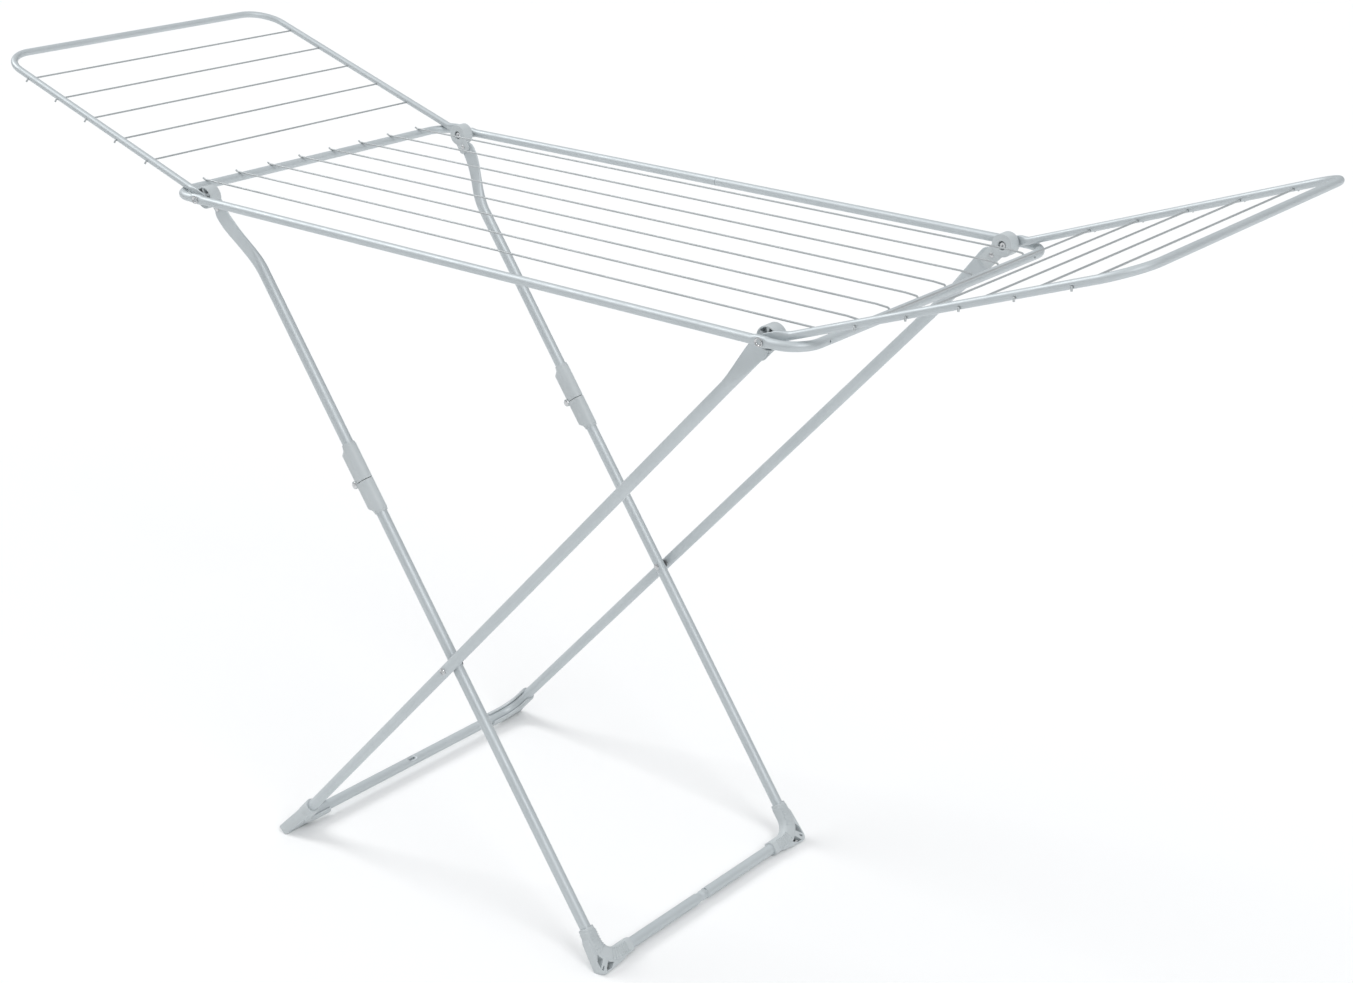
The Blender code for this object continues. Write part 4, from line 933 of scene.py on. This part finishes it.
lower = draw_sleeve("lower_sleeve", knuckle.x + SPLIT, knuckle.x + LOWER_LONG)
cut_away(lower, bore((knuckle.x, -INNER_Y - LUG_HALF, knuckle.z), (knuckle.x, -INNER_Y + LUG_HALF, knuckle.z),
                     LUG_R + 0.0006, 32))
ears = boss(FLANK_HALF + 0.0004, LUG_R, LUG_HALF + 0.0003)
for ear in ears:
    soften(ear, 0.0004)
gather(lower, *ears)
place(lower, FRAMES["inner"])
pair(lower, "plastic", "inner_lower_legs", "lower_sleeve")

head = FLANK_HALF + 0.0004 + 0.0014
rivet = turn_round("knuckle_rivet", rivet_profile(0.0025, 0.0046, 2 * head),
                   (knuckle.x, -INNER_Y - head, knuckle.z), (0, 1, 0), 32)
pair(place(rivet, FRAMES["inner"]), "rivet", "inner_lower_legs", "knuckle_rivet")

# %% [markdown]
# The inner feet are corner shoes: a sleeve round the bend, ribbed on its inner curve, with a thick web
# that fills the outer corner. The web is hollowed by triangular pockets either side of a double rib.

# %% Inner feet
FOOT_WALL, CLIP_WALL, ON_LEG, ON_BAR = 0.0038, 0.0036, 0.022, 0.026
WEB_HALF, WEB_REACH, WEB_ALONG, WEB_CORNER = 0.0075, 0.0155, 0.012, 0.0085
CLIP_REACH, CLIP_HALF = 0.0240, 0.0085
SHOE_HALF_THICK, SHOE_HALF_WIDE = 0.0094, 0.0106


def foot_points(length, leg_y):
    corners = [(length - LEG_CORNER_R - ON_LEG, -leg_y, 0), (length, -leg_y, 0),
               (length, -(leg_y - LEG_CORNER_R - ON_BAR), 0)]
    return rounded_route(corners, LEG_CORNER_R, 12)


def web_outline(length, leg_y, reach):
    bend = (length - LEG_CORNER_R, leg_y - LEG_CORNER_R)
    outline = [(bend[0] - WEB_ALONG, leg_y), (bend[0] - WEB_ALONG, leg_y + BORE_R),
               (bend[0] - WEB_ALONG * 0.3, leg_y + BORE_R + FOOT_WALL)]
    outline += arc((length + reach - WEB_CORNER, leg_y + reach - WEB_CORNER), WEB_CORNER, 90, 0, 8)
    outline += [(length + BORE_R + FOOT_WALL, bend[1] - WEB_ALONG * 0.3), (length + BORE_R,
                                                                           bend[1] - WEB_ALONG),
                (length, bend[1] - WEB_ALONG)]
    outline += arc(bend, LEG_CORNER_R, 0, 90, 12)
    return [(x, -y) for x, y in outline]


def flat_sole(obj):
    """Slice off what is below the floor and close the cut."""
    edit(obj)
    bpy.ops.mesh.bisect(plane_co=(0, 0, 0.00005), plane_no=(0, 0, 1), use_fill=True, clear_inner=True)
    bpy.ops.object.mode_set(mode="OBJECT")
    outward(obj)


def squared(a_half, b_half, count=TUBE_RING):
    """A round-cornered square section."""
    points = []
    for i in range(count):
        angle = 2 * math.pi * (i + 0.5) / count
        a, b = math.cos(angle), math.sin(angle)
        points.append((a_half * math.copysign(abs(a) ** 0.55, a), b_half * math.copysign(abs(b) ** 0.55, b)))
    return points


def end_pair(points, i, shrink):
    """An extra station just inside a tube's end."""
    toward = points[1] if i == 0 else points[-2]
    return points[i] + (toward - points[i]).normalized() * shrink


def draw_shoe():
    points = foot_points(INNER_LENGTH, INNER_Y)
    rows = [(points[0], -0.0025), (end_pair(points, 0, 0.0001), -0.0010), (end_pair(points, 0, 0.0004),
                                                                           -0.0007),
            (end_pair(points, 0, 0.0050), -0.0007), (end_pair(points, 0, 0.0054), 0)]
    rows += [(p, 0) for p in points[1:-1]]
    rows += [(end_pair(points, -1, 0.0006), 0), (end_pair(points, -1, 0.0001), -0.0006), (points[-1],
                                                                                          -0.0025)]
    shoe = draw_along("inner_foot", [p for p, _ in rows],
                      [squared(SHOE_HALF_THICK + grown, SHOE_HALF_WIDE + grown) for _, grown in rows])
    web = raise_plate("web", web_outline(INNER_LENGTH, INNER_Y, WEB_REACH), (0, 0, -WEB_HALF), (1, 0, 0), (0,
                                                                                                           1, 0),
                      (0, 0, 2 * WEB_HALF))
    bend = Vector((INNER_LENGTH - LEG_CORNER_R, INNER_Y - LEG_CORNER_R))
    wall_in = INNER_Y + WEB_REACH - 0.0028
    skin_r = LEG_CORNER_R + SHOE_HALF_WIDE + 0.0006
    outlines = [arc(bend, skin_r, 51, 66, 6) + [(INNER_LENGTH - 0.0050, wall_in), (INNER_LENGTH + 0.0052,
                                                                                   wall_in)],
                [(INNER_LENGTH + 0.0075, wall_in - 0.0010), (INNER_LENGTH + 0.0040, INNER_Y + 0.0062),
                 (INNER_LENGTH + 0.0052, INNER_Y + 0.0050), (INNER_LENGTH + 0.0100, wall_in - 0.0030)]]
    outlines.append([(INNER_LENGTH + y - INNER_Y, INNER_Y + x - INNER_LENGTH) for x, y in outlines[0]])
    pockets = []
    for outline in outlines:
        pockets.append(raise_plate("pocket", [(x, -y) for x, y in outline], (0, 0, 0.0015 - WEB_HALF),
                                   (1, 0, 0), (0, 1, 0), (0, 0, 0.02)))
    cut_away(web, gather(*pockets))
    soften(web, 0.0005)
    ribs = []
    inner_end, outer_end = SHOE_HALF_WIDE - 0.0022, SHOE_HALF_WIDE - 0.0034
    for step in range(11):
        degrees = 90 * step / 10
        if 35 < degrees < 60:
            continue
        out = Vector((math.cos(math.radians(degrees)), math.sin(math.radians(degrees))))
        side_way = Vector((-out.y, out.x)) * 0.0005
        middle_line = bend + out * LEG_CORNER_R
        corners = [middle_line - out * inner_end - side_way, middle_line + out * outer_end - side_way,
                   middle_line + out * outer_end + side_way, middle_line - out * inner_end + side_way]
        ribs.append(raise_plate("rib", [(c.x, -c.y) for c in corners], (0, 0, SHOE_HALF_THICK - 0.001),
                                (1, 0, 0), (0, 1, 0), (0, 0, 0.0017), 0.0002))
    for step in range(4):
        ahead = 0.0035 + 0.0035 * step
        for corners in ([(bend.x - ahead, INNER_Y - inner_end), (bend.x - ahead, INNER_Y + outer_end),
                         (bend.x - ahead - 0.001, INNER_Y + outer_end), (bend.x - ahead - 0.001,
                                                                         INNER_Y - inner_end)],
                        [(INNER_LENGTH - inner_end, bend.y - ahead), (INNER_LENGTH + outer_end,
                                                                      bend.y - ahead),
                         (INNER_LENGTH + outer_end, bend.y - ahead - 0.001),
                         (INNER_LENGTH - inner_end, bend.y - ahead - 0.001)]):
            ribs.append(raise_plate("rib", [(x, -y) for x, y in corners], (0, 0, SHOE_HALF_THICK - 0.001),
                                    (1, 0, 0), (0, 1, 0), (0, 0, 0.0017), 0.0002))
    return gather(shoe, web, *ribs)


shoe = place(draw_shoe(), FRAMES["inner"])
flat_sole(shoe)
pair(shoe, "plastic", "inner_lower_legs", "inner_foot")
print("shoe", len(shoe.data.polygons), "faces")

# %% [markdown]
# The outer feet are clips: a channel that wraps the outside of the bend and leaves its inside open, with
# rolled lips, standing on a smooth waisted block.

# %% Outer feet
LIP_ANGLE = math.radians(128)


def clip_section(outer_r, inner_r):
    """A C of plastic round the tube, with rounded lips."""
    steps = 18
    points = []
    middle_r = (outer_r + inner_r) / 2
    half_wall = (outer_r - inner_r) / 2
    for i in range(steps + 1):
        angle = LIP_ANGLE * (-1 + 2 * i / steps)
        points.append((outer_r * math.cos(angle), outer_r * math.sin(angle)))
    for i in range(1, 4):
        turn = math.pi * i / 4
        r = middle_r + half_wall * math.cos(turn)
        angle = LIP_ANGLE + half_wall / middle_r * math.sin(turn)
        points.append((r * math.cos(angle), r * math.sin(angle)))
    for i in range(steps + 1):
        angle = LIP_ANGLE * (1 - 2 * i / steps)
        points.append((inner_r * math.cos(angle), inner_r * math.sin(angle)))
    for i in range(1, 4):
        turn = math.pi * i / 4
        r = middle_r - half_wall * math.cos(turn)
        angle = -LIP_ANGLE - half_wall / middle_r * math.sin(turn)
        points.append((r * math.cos(angle), r * math.sin(angle)))
    return points


points = foot_points(OUTER_LENGTH, OUTER_Y)
outer_r = BORE_R + CLIP_WALL
stretch = [points[0], end_pair(points, 0, 0.0005)] + points[1:-1] + [end_pair(points, -1, 0.0005), points[-1]]
sections = [clip_section(outer_r - (0.0005 if i in (0, len(stretch) - 1) else 0), BORE_R)
            for i in range(len(stretch))]
clip = draw_along("outer_foot", stretch, sections, (0, -1, 0))
block = raise_plate("block", web_outline(OUTER_LENGTH, OUTER_Y, CLIP_REACH), (0, 0, -CLIP_HALF), (1, 0, 0),
                    (0, 1, 0),
                    (0, 0, 2 * CLIP_HALF), 0.0012)
clip = place(gather(clip, block), FRAMES["outer"])
flat_sole(clip)
pair(clip, "plastic", "outer_legs", "outer_foot")

# %% [markdown]
# Anything that still shows from the frame gets the finish of its material slot.

# %% What is left
slots = {}
for entry_row in frame["record"]["materials"]:
    for node in entry_row.get("nodes", []):
        slots[node] = entry_row["slot"]
kept = [name for name, obj in frame["nodes"].items() if not obj.hide_render]
for name in kept:
    cad = frame["nodes"][name]
    cad.data.materials.clear()
    cad.data.materials.append(MATERIALS[slots.get(name, "coated_tube")])
print("kept from the frame:", kept)
